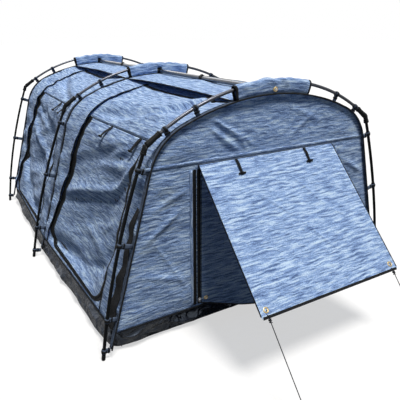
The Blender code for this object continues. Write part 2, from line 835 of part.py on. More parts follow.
def make_binding(name, y):
    lift = SEAT + BINDING_THICKNESS
    shares = [0.0, *OPENING_ROWS[3:], *CROWN_ROWS]
    places = [(-1, share) for share in shares] + [(1, 1.0)] + [(1, share) for share in reversed(shares)]

    def row_at(side, share):
        spot, normal = Arch(y).at(share)
        spot = spot + normal * lift
        return [Vector((side * spot.x, column, spot.y)) for column in binding_columns(y)]

    def tail_row(side):
        spot = tail_point(y, 1, lift)
        return [Vector((side * spot.x, column, spot.y)) for column in binding_columns(y)]

    rows = [tail_row(-1)] + [row_at(side, share) for side, share in places] + [tail_row(1)]
    binding = thicken(add(name, grid_mesh(rows), WEBBING), BINDING_THICKNESS)
    heights = [LEG_TOP_HEIGHT * share for share in LEG_LOOP_SHARES]
    spots = [spot_on(crown_path(y), 0, CROWN_MOUTH_HALF * share) for share in CROWN_LOOP_SHARES]
    spots += [spot_on(leg_path(y, 1), 2, height) for height in (*heights, FOOT_LOOP_HEIGHT)]
    loops = [loop_mesh(spot, tangent, side) for side in (-1, 1) for spot, tangent in spots]
    boolean(binding, tool(name + "_loops", joined_mesh(loops)), "UNION")


def make_sleeve(name, y, notch_ways):
    """A canvas tunnel round the crown pole, closed on the binding below it."""
    limit = asin(SLEEVE_HALF / CROWN_RADIUS)
    turns = [pi, 3 * pi / 4, pi / 2, pi / 4, 0]
    rows = []
    for index in range(SLEEVE_STEPS + 1):
        angle = mix(-limit, limit, index / SLEEVE_STEPS)
        centre = crown_point(angle, y)
        outward = Vector((sin(angle), 0, cos(angle)))
        inward = Vector((-abs(sin(angle)), -cos(angle)))
        depth = reach_to_canvas(centre, inward) - 3 * SEAT - BINDING_THICKNESS
        section = [(-SLEEVE_SEAM_HALF, -depth)]
        section += [(SLEEVE_INNER * cos(turn), SLEEVE_INNER * sin(turn)) for turn in turns]
        section += [(SLEEVE_SEAM_HALF, -depth)]
        rows.append([centre + Vector((0, across, 0)) + outward * up for across, up in section])
    sleeve = thicken(add(name, grid_mesh(rows), CANVAS), SLEEVE_WALL, offset=1)
    half = RIDGE_RADIUS + SLIP + RIDGE_SOCKET_WALL + SEAT
    for way in notch_ways:
        ends = sorted((y, y + way * 2 * OVERRUN))
        notch = box_mesh((-half, ends[0], RIDGE_HEIGHT - 2 * half), (half, ends[1], RIDGE_HEIGHT + half))
        boolean(sleeve, tool(name + "_notch", notch), "DIFFERENCE")


# The ridge


def make_hub(name, y, ways):
    """A collar on the crown pole with a socket for each ridge pole that meets it."""
    collar_turn = Matrix.Translation((0, y, CROWN_HEIGHT)) @ ALONG_X
    collar = cylinder_mesh(POLE_RADIUS + SLIP + COLLAR_WALL, COLLAR_LENGTH, 16, collar_turn)
    hub = add(name, collar, MOULDED)
    low = y - (RIDGE_SOCKET_LENGTH if -1 in ways else 2 * RIDGE_STOP_HALF)
    high = y + (RIDGE_SOCKET_LENGTH if 1 in ways else 2 * RIDGE_STOP_HALF)
    outer = RIDGE_RADIUS + SLIP + RIDGE_SOCKET_WALL
    socket_turn = Matrix.Translation((0, (low + high) / 2, RIDGE_HEIGHT)) @ ALONG_Y
    socket = cylinder_mesh(outer, high - low, 16, socket_turn)
    half = HUB_WEB / 2
    web = box_mesh((-half, y - half, RIDGE_HEIGHT), (half, y + half, CROWN_HEIGHT))
    boolean(hub, tool(name + "_web", web), "UNION")
    boolean(hub, tool(name + "_socket", socket), "UNION")
    for way in ways:
        ends = (y + way * RIDGE_STOP_HALF, y + way * (RIDGE_SOCKET_LENGTH + OVERRUN))
        middle = (ends[0] + ends[1]) / 2
        turn = Matrix.Translation((0, middle, RIDGE_HEIGHT)) @ ALONG_Y
        bore = cylinder_mesh(RIDGE_RADIUS + SLIP, abs(ends[1] - ends[0]), 12, turn)
        boolean(hub, tool(name + "_socket_bore", bore), "DIFFERENCE")
    points = [point for point in crown_path(y) if abs(point.x) < SLEEVE_HALF]
    boolean(hub, tool(name + "_bore", tube_mesh(points, POLE_RADIUS + SLIP)), "DIFFERENCE")


def make_ridge_pole(name, start, end):
    low = start + RIDGE_STOP_HALF + SLIP
    high = end - RIDGE_STOP_HALF - SLIP
    turn = Matrix.Translation((0, (low + high) / 2, RIDGE_HEIGHT)) @ ALONG_Y
    add(name, cylinder_mesh(RIDGE_RADIUS, high - low, 12, turn), ALLOY)


# Tub and mattress


def tub_outline(half_end, half_middle, length_half, radius, height):
    """A long rectangle with round corners and sides that spread a little at the middle."""
    corner_turns = (0, pi / 6, pi / 3, pi / 2)
    quarter = []
    for turn in corner_turns:
        across = half_end - radius + radius * cos(turn)
        along = length_half - radius + radius * sin(turn)
        quarter.append((across, along))
    points = [(half_middle, 0.0), *quarter]
    points += [(-across, along) for across, along in reversed(quarter)]
    points += [(-half_middle, 0.0)]
    points += [(-across, -along) for across, along in quarter]
    points += [(across, -along) for across, along in reversed(quarter)]
    return [Vector((across, along, height)) for across, along in points]


def loft_mesh(rings):
    """A closed solid through rings of equal count, capped at both ends."""

    def build(made):
        loops = [[made.verts.new(point) for point in ring] for ring in rings]
        for low, high in zip(loops, loops[1:]):
            for index in range(len(low)):
                after = (index + 1) % len(low)
                made.faces.new((low[index], low[after], high[after], high[index]))
        made.faces.new(list(reversed(loops[0])))
        made.faces.new(loops[-1])

    return mesh_from(build)


TUB_TOP_HALF = CANVAS_FOOT_HALF
TUB_TOP_MIDDLE_HALF = CANVAS_FOOT_HALF + MIDDLE_CANVAS_SPREAD


def tub_ring(inset, height):
    """The tub's outline at a height, drawn in by an inset."""
    share = height / TUB_HEIGHT
    end = mix(TUB_BASE_HALF, TUB_TOP_HALF, share) - inset
    middle = mix(TUB_BASE_MIDDLE_HALF, TUB_TOP_MIDDLE_HALF, share) - inset
    length = BAY_LENGTH - mix(TUB_BASE_INSET, 0, share) - inset
    return tub_outline(end, middle, length, TUB_CORNER, height)


def make_tub():
    tub = add("tub", loft_mesh([tub_ring(0, 0), tub_ring(0, TUB_HEIGHT)]), COATED)
    above = TUB_HEIGHT + OVERRUN
    inside = loft_mesh([tub_ring(TUB_WALL, TUB_WALL), tub_ring(TUB_WALL, above)])
    boolean(tub, tool("tub_inside", inside), "DIFFERENCE")


def make_mattress():
    """A foam mattress with a crown and drawn-in sides, flat where it lies on the floor."""
    bottom = TUB_WALL + SLIP
    half_width = TUB_BASE_HALF - MATTRESS_MARGIN
    half_length = BAY_LENGTH - TUB_BASE_INSET - MATTRESS_MARGIN
    levels = ((0.0, 0.985), (0.2, 1.0), (0.5, 0.985), (0.8, 1.0), (1.0, 0.985))
    rings = []
    for level_share, width_share in levels:
        height = bottom + MATTRESS_THICKNESS * level_share
        half = half_width * width_share
        length = half_length - (half_width - half)
        rings.append(tub_outline(half, half, length, TUB_CORNER, height))
    top = bottom + MATTRESS_THICKNESS + MATTRESS_CROWN
    for crown_share, width_share in ((0.7, 0.7), (1.0, 0.35)):
        half = half_width * width_share
        length = half_length - (half_width - half)
        height = mix(bottom + MATTRESS_THICKNESS, top, crown_share)
        rings.append(tub_outline(half, half, length, TUB_CORNER, height))
    add("mattress", loft_mesh(rings), FOAM)


# End walls


def wall_outline():
    """The arch of an end wall, from the left foot over the crown to the right foot."""
    shares = [0.0, *OPENING_ROWS[4:], *CROWN_ROWS]
    arch = Arch(FRONT_Y)
    spots = [arch.at(share)[0] for share in shares]
    left = [(-spot.x, spot.y) for spot in spots]
    crown = arch.at(1.0)[0]
    right = [(spot.x, spot.y) for spot in reversed(spots)]
    return [*left, (crown.x, crown.y), *right]


def rectangle(half, low, high):
    return [(-half, low), (half, low), (half, high), (-half, high)]


STAND_UP = Matrix.Rotation(pi / 2, 4, "X")


def make_front_wall():
    opening = rectangle(DOOR_HALF - ZIP_MARGIN, TUB_HEIGHT + DOOR_SILL, DOOR_TOP - ZIP_MARGIN)
    mesh = plate_mesh([wall_outline(), opening], CANVAS_THICKNESS)
    mesh.transform(Matrix.Translation((0, FRONT_Y - CANVAS_THICKNESS / 2, 0)) @ STAND_UP)
    add("front_wall", mesh, CANVAS)


def make_rear_wall():
    mesh = plate_mesh([wall_outline()], CANVAS_THICKNESS)
    mesh.transform(Matrix.Translation((0, REAR_Y + CANVAS_THICKNESS / 2, 0)) @ STAND_UP)
    add("rear_wall", mesh, CANVAS)


WALL_FACE_Y = FRONT_Y - CANVAS_THICKNESS
DOOR_AXIS = Vector((0, WALL_FACE_Y - SEAT - CANVAS_THICKNESS / 2, DOOR_TOP))


def make_inner_door():
    """A slack canvas door: its hem drops and comes forward towards the middle."""
    half = DOOR_HALF + DOOR_OVERLAP
    hinge = hinge_empty("door_axis", DOOR_AXIS, Vector((-1, 0, 0)))
    row_shares = (0.0, 0.2, 0.4, 0.6, 0.75, 0.88, 1.0)
    column_shares = (-1, -0.82, -0.6, -0.35, 0, 0.35, 0.6, 0.82, 1)
    straight = DOOR_TOP - TUB_HEIGHT - DOOR_SILL / 2
    rows = []
    for down in row_shares:
        row = []
        for across in column_shares:
            droop = cos(across * pi / 2) ** 1.2 if abs(across) < 1 else 0.0
            length = straight + DOOR_DROP * droop
            forward = DOOR_BELLY * droop * down**2
            y = WALL_FACE_Y - SEAT - CANVAS_THICKNESS - forward
            row.append(Vector((across * half, y, DOOR_TOP - length * down)))
        rows.append(row)
    door = add("inner_door", grid_mesh(rows), CANVAS)
    carry(thicken(door, CANVAS_THICKNESS), hinge)


def make_slider(name, side):
    """A zip slider with its hanging pull, at the foot of the door zip."""
    centre = Vector((side * (DOOR_HALF + DOOR_OVERLAP + SEAT + SLIDER_WIDTH / 2), 0, SLIDER_REST))
    face = WALL_FACE_Y - SLIP
    half = Vector((SLIDER_WIDTH / 2, 0, SLIDER_HEIGHT / 2))
    low = (centre.x - half.x, face - SLIDER_DEPTH, centre.z - half.z)
    high = (centre.x + half.x, face, centre.z + half.z)
    slider = add(name, box_mesh(low, high), STEEL)
    bevel = slider.modifiers.new("rounding", "BEVEL")
    bevel.width = SLIDER_DEPTH / 4
    bevel.segments = 1


# The awning, built lying in its own upright frame and then opened


AWNING_AXIS = Vector((0, WALL_FACE_Y - SLIP - PIPING_RADIUS, AWNING_HINGE_HEIGHT))
AWNING_PLACE = Matrix.Translation(AWNING_AXIS) @ Matrix.Rotation(-radians(AWNING_OPEN_DEGREES), 4, "X")


def rounded_sheet(half, length, radius):
    turns = [pi / 2 * index / 3 for index in range(4)]
    corner = [(half - radius + radius * cos(turn), -length + radius - radius * sin(turn)) for turn in turns]
    return [(-half, 0.0), (half, 0.0), *corner, *[(-across, up) for across, up in reversed(corner)]]


def make_awning(hinge):
    holes = [circle(side * (AWNING_HALF - EYELET_INSET), -AWNING_LENGTH + EYELET_INSET, EYELET_HOLE, 12)
             for side in (-1, 1)]
    sheet = plate_mesh([rounded_sheet(AWNING_HALF, AWNING_LENGTH, AWNING_CORNER), *holes], CANVAS_THICKNESS)
    sheet.transform(AWNING_PLACE @ STAND_UP)
    awning = add("awning", sheet, CANVAS)
    piping = cylinder_mesh(PIPING_RADIUS, 2 * AWNING_HALF, 8, ALONG_X)
    piping.transform(AWNING_PLACE)
    hem_low = (-AWNING_HALF + AWNING_CORNER, -HEM_THICKNESS / 2, -AWNING_LENGTH - SLIP)
    hem_high = (AWNING_HALF - AWNING_CORNER, HEM_THICKNESS / 2, -AWNING_LENGTH + HEM_HEIGHT)
    hem = box_mesh(hem_low, hem_high)
    hem.transform(AWNING_PLACE)
    boolean(awning, tool("awning_piping", piping), "UNION")
    boolean(awning, tool("awning_hem", hem), "UNION")
    carry(awning, hinge)


def make_eyelet(name, side, hinge):
    """A turned brass eyelet whose two flanges clamp the sheet."""
    clamp = CANVAS_THICKNESS / 2 + SLIP
    face = clamp + EYELET_LIP
    barrel = EYELET_HOLE - SLIP
    profile = [(EYELET_FLANGE, face), (EYELET_FLANGE, clamp), (barrel, clamp), (barrel, -clamp)]
    profile += [(EYELET_FLANGE, -clamp), (EYELET_FLANGE, -face), (EYELET_BORE, -face), (EYELET_BORE, face)]

    def build(made):
        corners = [made.verts.new((radius, 0, up)) for radius, up in profile]
        for index, corner in enumerate(corners):
            made.edges.new((corner, corners[(index + 1) % len(corners)]))

    eyelet = add(name, mesh_from(build), BRASS)
    turned = eyelet.modifiers.new("turned", "SCREW")
    turned.steps = 12
    turned.render_steps = 12
    turned.use_merge_vertices = True
    turned.merge_threshold = SLIP / 10
    place = Matrix.Translation((side * (AWNING_HALF - EYELET_INSET), 0, -AWNING_LENGTH + EYELET_INSET))
    eyelet.matrix_world = AWNING_PLACE @ place @ STAND_UP
    carry(eyelet, hinge)


def make_guy_rope(name, side, hinge):
    """A taut cord from a knot at the awning's hem to a knot on the ground."""
    across = side * (AWNING_HALF - EYELET_INSET)
    start = AWNING_PLACE @ Vector((across, 0, -AWNING_LENGTH - 2 * SLIP - KNOT_RADIUS))
    drop = start.z - KNOT_RADIUS - SLIP
    end = start + Vector((0, -drop / tan(radians(CORD_SLOPE_DEGREES)), -drop))
    points = [start.lerp(end, index / CORD_STEPS) for index in range(CORD_STEPS + 1)]
    rope = add(name, tube_mesh(points, CORD_RADIUS), CORD)
    for label, spot in (("_top_knot", start), ("_ground_knot", end)):

        def build(made, centre=spot):
            bmesh.ops.create_icosphere(
                made, subdivisions=1, radius=KNOT_RADIUS, matrix=Matrix.Translation(centre)
            )

        boolean(rope, tool(name + label, mesh_from(build)), "UNION")
    carry(rope, hinge)


def make_awning_toggle(name, side, hinge):
    """A webbing strap with a cross bar that lies on the awning's outer face."""
    centre = side * AWNING_TOGGLE_X
    half = TOGGLE_STRAP_WIDTH / 2
    back = -CANVAS_THICKNESS / 2 - SEAT
    top = -PIPING_RADIUS - SEAT
    low = (centre - half, back - TOGGLE_STRAP, -TOGGLE_LENGTH)
    strap = box_mesh(low, (centre + half, back, top))
    bar_place = Matrix.Translation((centre, back - TOGGLE_BAR_RADIUS, -TOGGLE_LENGTH)) @ ALONG_X
    bar = cylinder_mesh(TOGGLE_BAR_RADIUS, TOGGLE_BAR_LENGTH, 8, bar_place)
    strap.transform(AWNING_PLACE)
    bar.transform(AWNING_PLACE)
    toggle = add(name, strap, WEBBING)
    boolean(toggle, tool(name + "_bar", bar), "UNION")
    carry(toggle, hinge)


def make_flap_toggle(name, side, y, facets, hinge):
    """A webbing strap with a cross bar that hangs from the seam over a side flap."""
    reach = SHOULDER_PER_METRE * TOGGLE_LENGTH
    top = FLAP_SEAM - SHOULDER_PER_METRE * 4 * SEAT
    between = [row for row in OPENING_ROWS if top - reach < row < top]
    shares = [top - reach, *between, top]
    half = TOGGLE_STRAP_WIDTH / 2
    lift = SEAT + SLIP + TOGGLE_STRAP

    def row_at(share):
        return [point_over(facets, side, share, column, lift) for column in (y - half, y + half)]

    toggle = thicken(add(name, grid_mesh(side_rows(side, shares, row_at)), WEBBING), TOGGLE_STRAP)
    half = TOGGLE_BAR_LENGTH / 2
    bar_lift = SEAT + SLIP + TOGGLE_BAR_RADIUS
    low, high = [point_over(facets, side, shares[0], end, bar_lift) for end in (y - half, y + half)]
    way = (high - low).to_track_quat("Z", "X").to_matrix().to_4x4()
    bar_place = Matrix.Translation((low + high) / 2) @ way
    bar = cylinder_mesh(TOGGLE_BAR_RADIUS, TOGGLE_BAR_LENGTH, 8, bar_place)
    boolean(toggle, tool(name + "_bar", bar), "UNION")
    carry(toggle, hinge)


def make_hoops():
    for place, y in (("front", FRONT_Y), ("middle", 0.0), ("rear", REAR_Y)):
        make_crown(f"crown_pole_{place}", y)
        make_binding(f"arch_binding_{place}", y)
        for hand, side in (("left", -1), ("right", 1)):
            make_leg(f"leg_pole_{place}_{hand}", y, side)
            make_elbow(f"elbow_{place}_{hand}", y, side)
    for place, y, ways in (("front", FRONT_Y, (1,)), ("middle", 0.0, (-1, 1)), ("rear", REAR_Y, (-1,))):
        make_sleeve(f"pole_sleeve_{place}", y, ways)
        make_hub(f"ridge_hub_{place}", y, ways)


def make_bays():
    bays = (("front", FRONT_Y, FRONT_TOGGLES_FROM_HOOP), ("rear", 0.0, REAR_TOGGLES_FROM_HOOP))
    for place, bay_front, toggles in bays:
        make_bay(f"{place}_bay_canvas", bay_front)
        make_spine_cover(f"spine_cover_{place}", bay_front)
        make_ridge_pole(f"ridge_pole_{place}", bay_front, bay_front + BAY_LENGTH)
        for hand, side in (("left", -1), ("right", 1)):
            low, high = hinge_line(side, bay_front)
            hinge = hinge_empty(f"flap_axis_{place}_{hand}", low, high - low)
            print(f"flap hinge {place} {hand}", tuple(low), tuple((high - low).normalized()))
            make_flap(f"side_flap_{place}_{hand}", side, bay_front, hinge)
            make_side_mesh(f"side_mesh_{place}_{hand}", side, bay_front)
            facets = flap_facets(side, bay_front)
            for label, distance in zip(("a", "b"), toggles):
                name = f"flap_toggle_{place}_{hand}_{label}"
                make_flap_toggle(name, side, bay_front + distance, facets, hinge)


def make_front():
    make_front_wall()
    make_inner_door()
    hinge = hinge_empty("awning_axis", AWNING_AXIS, Vector((-1, 0, 0)))
    print("door axis", tuple(DOOR_AXIS), "awning axis", tuple(AWNING_AXIS))
    make_awning(hinge)
    for hand, side in (("left", -1), ("right", 1)):
        make_slider(f"zip_slider_{hand}", side)
        make_eyelet(f"awning_eyelet_{hand}", side, hinge)
        make_guy_rope(f"guy_rope_{hand}", side, hinge)
        make_awning_toggle(f"awning_toggle_{hand}", side, hinge)


make_tub()
make_mattress()
make_rear_wall()
make_front()
make_bays()
make_hoops()

for obj in TENT.objects:
    if obj.type == "MESH":
        obj.data.shade_smooth()
        obj.data.set_sharp_from_angle(angle=radians(35))
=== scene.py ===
# %% [markdown]
# # A double swag tent
# A canvas body is sewn to a dark coated tub and hangs inside three jointed hoops.
# The model in model.glb gives every piece its place, so each visible piece here follows the same few
# formulas.

# %% Load the frame
from math import asin, atan2, cos, exp, pi, radians, sin, sqrt, tan

import bmesh
import bpy
from mathutils import Matrix, Vector, noise


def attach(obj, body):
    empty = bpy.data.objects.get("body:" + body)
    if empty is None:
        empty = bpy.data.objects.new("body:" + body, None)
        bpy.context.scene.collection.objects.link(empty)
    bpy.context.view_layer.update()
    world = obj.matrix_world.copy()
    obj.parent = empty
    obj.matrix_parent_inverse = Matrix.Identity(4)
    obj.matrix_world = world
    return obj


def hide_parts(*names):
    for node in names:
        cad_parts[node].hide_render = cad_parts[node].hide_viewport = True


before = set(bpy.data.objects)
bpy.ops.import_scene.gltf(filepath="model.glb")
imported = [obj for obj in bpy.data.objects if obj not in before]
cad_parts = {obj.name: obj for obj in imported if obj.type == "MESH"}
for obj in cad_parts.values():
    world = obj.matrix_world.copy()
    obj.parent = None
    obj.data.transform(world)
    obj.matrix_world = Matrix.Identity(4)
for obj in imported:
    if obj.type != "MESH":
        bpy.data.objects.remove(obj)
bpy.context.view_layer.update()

# %% [markdown]
# ## Camera
# The photograph was taken from the front left, a little above the ridge. The place and the lens were
# worked out from the three equal hoops and the square-cut awning.

# %% The camera
CAMERA_AT = Vector((-1.237, -2.5756, 1.2595))
CAMERA_AZIMUTH, CAMERA_PITCH, CAMERA_ROLL = radians(-30.59), radians(20.54), radians(-0.13)
ahead = Vector((-sin(CAMERA_AZIMUTH) * cos(CAMERA_PITCH), cos(CAMERA_AZIMUTH) * cos(CAMERA_PITCH),
                -sin(CAMERA_PITCH)))
level = Vector((cos(CAMERA_AZIMUTH), sin(CAMERA_AZIMUTH), 0))
rise = level.cross(ahead)
right = level * cos(CAMERA_ROLL) + rise * sin(CAMERA_ROLL)
camera = bpy.data.objects.new("camera", bpy.data.cameras.new("camera"))
camera.data.lens = 41.25
camera.data.sensor_width = 36
camera.matrix_world = Matrix.Translation(CAMERA_AT) @ Matrix(
    (right, right.cross(ahead), -ahead)).transposed().to_4x4()
bpy.context.scene.collection.objects.link(camera)
bpy.context.scene.camera = camera

# %% [markdown]
# ## Helpers for meshes
# Cloth is a grid of points with a UV map in metres, so a weave keeps its scale and runs along the cloth.
# Poles, cords and pipings are rings of points swept along a path. A bevelled curve could make those too, but
# plain bmesh code gives them a UV map in metres as well.

# %% Grid and sweep helpers
def link(obj, finish_used):
    bpy.context.scene.collection.objects.link(obj)
    obj.data.materials.clear()
    obj.data.materials.append(finish_used)
    obj.data.shade_smooth()
    return obj


def piece(name, mesh, finish_used, body, *replaced):
    """One visible piece that rides on a body, in place of the named nodes."""
    obj = link(bpy.data.objects.new(name, mesh), finish_used)
    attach(obj, body)
    if replaced:
        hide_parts(*replaced)
    return obj


def clamp(value, low=0.0, high=1.0):
    return max(low, min(high, value))


def mix(low, high, share):
    return low + (high - low) * share


def smooth(value):
    value = clamp(value)
    return value * value * (3 - 2 * value)


def spread(low, high, count):
    return [mix(low, high, index / count) for index in range(count + 1)]


def finished(made, name):
    """The plain mesh of a bmesh, which is then let go."""
    mesh = bpy.data.meshes.new(name)
    made.to_mesh(mesh)
    made.free()
    return mesh


def band_faces(made, rings):
    """Faces between rings of points that are each closed on themselves."""
    for low, high in zip(rings, rings[1:]):
        for k in range(len(low)):
            after = (k + 1) % len(low)
            made.faces.new((low[k], low[after], high[after], high[k]))


def on_axis(at, degrees, axis="X"):
    """A place at a point, turned about one axis."""
    return Matrix.Translation(at) @ Matrix.Rotation(radians(degrees), 4, axis)


def facing(at, way, up="X"):
    """A place at a point whose Z looks along a direction."""
    return Matrix.Translation(at) @ way.to_track_quat("Z", up).to_matrix().to_4x4()


def grid(rows, uvs, is_open=None):
    """Points in rows, with a UV in metres for each point; is_open says which faces are left out."""
    made = bmesh.new()
    layer = made.loops.layers.uv.new("weave")
    points = [[made.verts.new(point) for point in row] for row in rows]
    for i in range(len(rows) - 1):
        for j in range(len(rows[i]) - 1):
            if is_open and is_open(i, j):
                continue
            corners = ((i, j), (i + 1, j), (i + 1, j + 1), (i, j + 1))
            face = made.faces.new([points[a][b] for a, b in corners])
            for loop, (a, b) in zip(face.loops, corners):
                loop[layer].uv = uvs[a][b]
    bmesh.ops.delete(made, geom=[v for v in made.verts if not v.link_faces], context="VERTS")
    return finished(made, "grid")


def thicken(obj, thickness, offset=-1.0):
    """A cloth's thickness: inwards with offset -1, to both sides with 0, outwards with 1."""
    wall = obj.modifiers.new("wall", "SOLIDIFY")
    wall.thickness = thickness
    wall.offset = offset
    wall.use_even_offset = False


def sweep(path, radii, sides=12, flat=1.0, closed=False):
    """Rings along a path; flat squashes them in one direction. UV: along the path, round it."""
    made = bmesh.new()
    layer = made.loops.layers.uv.new("weave")
    count = len(path)
    if isinstance(radii, (int, float)):
        radii = [radii] * count
    ways = []
    for index in range(count):
        ahead = path[(index + 1) % count] if closed else path[min(index + 1, count - 1)]
        behind = path[index - 1] if closed or index else path[0]
        ways.append((ahead - behind).normalized())
    side = ways[0].orthogonal().normalized()
    rings, along, length = [], [0.0], 0.0
    for index, (point, way) in enumerate(zip(path, ways)):
        side = (side - way * side.dot(way)).normalized()
        up = way.cross(side)
        turns = [2 * pi * k / sides for k in range(sides)]
        ring = [point + (side * cos(t) + up * sin(t) * flat) * radii[index] for t in turns]
        rings.append([made.verts.new(spot) for spot in ring])
        if index:
            length += (point - path[index - 1]).length
            along.append(length)
    spans = list(zip(rings, rings[1:], along, along[1:]))
    if closed:
        spans.append((rings[-1], rings[0], length, length + (path[0] - path[-1]).length))
    for low, high, start, end in spans:
        for k in range(sides):
            after = (k + 1) % sides
            face = made.faces.new((low[k], low[after], high[after], high[k]))
            across = [2 * pi * radii[0] * n / sides for n in (k, k + 1, k + 1, k)]
            for loop, u, v in zip(face.loops, (start, start, end, end), across):
                loop[layer].uv = (u, v)
    if not closed:
        made.faces.new(rings[0][::-1])
        made.faces.new(rings[-1])
    bmesh.ops.recalc_face_normals(made, faces=made.faces)
    return finished(made, "sweep")


def lathe(profile, place, steps=32):
    """A closed profile of (radius, height) turned about Z, then put in place."""
    made = bmesh.new()
    rings = [[made.verts.new(place @ Vector((r * cos(t), r * sin(t), h))) for r, h in profile]
             for t in (2 * pi * k / steps for k in range(steps))]
    band_faces(made, rings + rings[:1])
    bmesh.ops.remove_doubles(made, verts=made.verts, dist=0.00001)
    bmesh.ops.recalc_face_normals(made, faces=made.faces)
    return finished(made, "lathe")


def join(meshes):
    made = bmesh.new()
    for mesh in meshes:
        made.from_mesh(mesh)
    return finished(made, "joined")


def block(low, high, place=Matrix(), bevel=0.0):
    """A box with rounded edges."""
    low, high = Vector(low), Vector(high)
    made = bmesh.new()
    scale = Matrix.Diagonal((*(high - low), 1))
    bmesh.ops.create_cube(made, size=1, matrix=place @ Matrix.Translation((low + high) / 2) @ scale)
    if bevel:
        bmesh.ops.bevel(made, geom=made.edges[:], offset=bevel, segments=2, affect="EDGES", profile=0.6)
    return finished(made, "block")


# %% [markdown]
# ## Where the guy ropes run
# Two taut cords hold the awning up. Each is tied below the awning's eyelet and ends in a knot at its peg.
# A simulation could hang them, but a taut cord is simply a straight line.

# %% Awning frame and guy ropes
# The hoops stand at FRONT, 0 and REAR; WALL is the thickness of the cloth in model.glb
BAY = 1.075
FRONT, REAR = -BAY, BAY
WALL = 0.002
AWNING_HALF, AWNING_LENGTH, AWNING_AT = 0.361, 0.635, Vector((0, FRONT - 0.0053, 0.757))
AWNING_TILT = -44
AWNING_PLACE = on_axis(AWNING_AT, AWNING_TILT)
EYELET_X, EYELET_DOWN = AWNING_HALF - 0.030, AWNING_LENGTH - 0.030
ROPE, ROPE_SLOPE, KNOT_HALF = 0.00175, radians(49), 0.006
HANDS = (("left", -1), ("right", 1))
rope_routes = {}
for hand, side in HANDS:
    top = AWNING_PLACE @ Vector((side * EYELET_X, 0, -AWNING_LENGTH - KNOT_HALF - 0.0006))
    drop = top.z - KNOT_HALF - 0.0003
    foot = top + Vector((0, -drop / tan(ROPE_SLOPE), -drop))
    rope_routes[hand] = (top, foot)
    print("guy rope", hand, "length", round((foot - top).length, 4))

# %% [markdown]
# ## Canvas and the other finishes
# The canvas is a heathered print: pale and dark streaks a few centimetres long on a slate ground, with a
# fine weave. The pattern reads each cloth's own UV map in metres, so the streaks run along the cloth and keep
# their size. Noise that is stretched along one direction gives the streaks. A painted image could hold them
# too, but it would repeat, and it would have an edge at each seam.

# %% Node helpers
def finish(name, colour, roughness, metallic=0.0):
    made = bpy.data.materials.new(name)
    made.use_nodes = True
    shader = made.node_tree.nodes["Principled BSDF"]
    shader.inputs["Base Color"].default_value = (*colour, 1)
    shader.inputs["Roughness"].default_value = roughness
    shader.inputs["Metallic"].default_value = metallic
    return made, made.node_tree, shader


def cloth_map(tree):
    source = tree.nodes.new("ShaderNodeUVMap")
    source.uv_map = "weave"
    return source.outputs["UV"]


def scaled_place(tree, source, scale):
    mapping = tree.nodes.new("ShaderNodeMapping")
    mapping.inputs["Scale"].default_value = scale
    tree.links.new(source, mapping.inputs["Vector"])
    return mapping.outputs["Vector"]


def place_of(tree, scale):
    """The cloth's own coordinates in metres, times a scale."""
    return scaled_place(tree, cloth_map(tree), scale)


def object_place(tree):
    """The object's coordinates in metres."""
    return scaled_place(tree, tree.nodes.new("ShaderNodeTexCoord").outputs["Object"], (1, 1, 1))


def speckle(tree, place, scale, detail=2.0, roughness=0.5, distortion=0.0):
    made = tree.nodes.new("ShaderNodeTexNoise")
    for key, value in (("Scale", scale), ("Detail", detail), ("Roughness", roughness),
                       ("Distortion", distortion)):
        made.inputs[key].default_value = value
    tree.links.new(place, made.inputs["Vector"])
    return made.outputs["Fac"]


def ramp(tree, source, stops):
    made = tree.nodes.new("ShaderNodeValToRGB")
    line = made.color_ramp
    while len(line.elements) < len(stops):
        line.elements.new(0.5)
    for element, (spot, colour) in zip(line.elements, stops):
        element.position = spot
        element.color = (*colour, 1) if isinstance(colour, tuple) else (colour, colour, colour, 1)
    tree.links.new(source, made.inputs["Fac"])
    return made.outputs["Color"]


def blend_colours(tree, way, share, first, second):
    made = tree.nodes.new("ShaderNodeMix")
    made.data_type = "RGBA"
    made.blend_type = way
    made.inputs[0].default_value = share
    for socket, value in ((made.inputs[6], first), (made.inputs[7], second)):
        if isinstance(value, tuple):
            socket.default_value = (*value, 1)
        else:
            tree.links.new(value, socket)
    return made.outputs[2]


def maths(tree, operation, *values):
    """A Math node; each value is a number or another node's output."""
    made = tree.nodes.new("ShaderNodeMath")
    made.operation = operation
    for socket, value in zip(made.inputs, values):
        if isinstance(value, float):
            socket.default_value = value
        else:
            tree.links.new(value, socket)
    return made.outputs[0]


def add_heights(tree, first, second, share):
    return maths(tree, "MULTIPLY_ADD", second, share, first)


def times(colour, share):
    return tuple(min(1, share * value) for value in colour)


def bump(tree, shader, height, depth, strength=1.0):
    made = tree.nodes.new("ShaderNodeBump")
    made.inputs["Strength"].default_value = strength
    made.inputs["Distance"].default_value = depth
    tree.links.new(height, made.inputs["Height"])
    tree.links.new(made.outputs["Normal"], shader.inputs["Normal"])


def wavy_place(tree, wave_size, wave_depth, scale):
    """Cloth coordinates whose rows wander up and down, as the printed streaks do."""
    wander = speckle(tree, place_of(tree, (1 / wave_size, 1.4 / wave_size, 1)), 1.0, 2.0)
    parts = tree.nodes.new("ShaderNodeSeparateXYZ")
    tree.links.new(cloth_map(tree), parts.inputs[0])
    joined = tree.nodes.new("ShaderNodeCombineXYZ")
    tree.links.new(parts.outputs["X"], joined.inputs["X"])
    tree.links.new(add_heights(tree, parts.outputs["Y"], wander, wave_depth), joined.inputs["Y"])
    return scaled_place(tree, joined.outputs[0], scale)


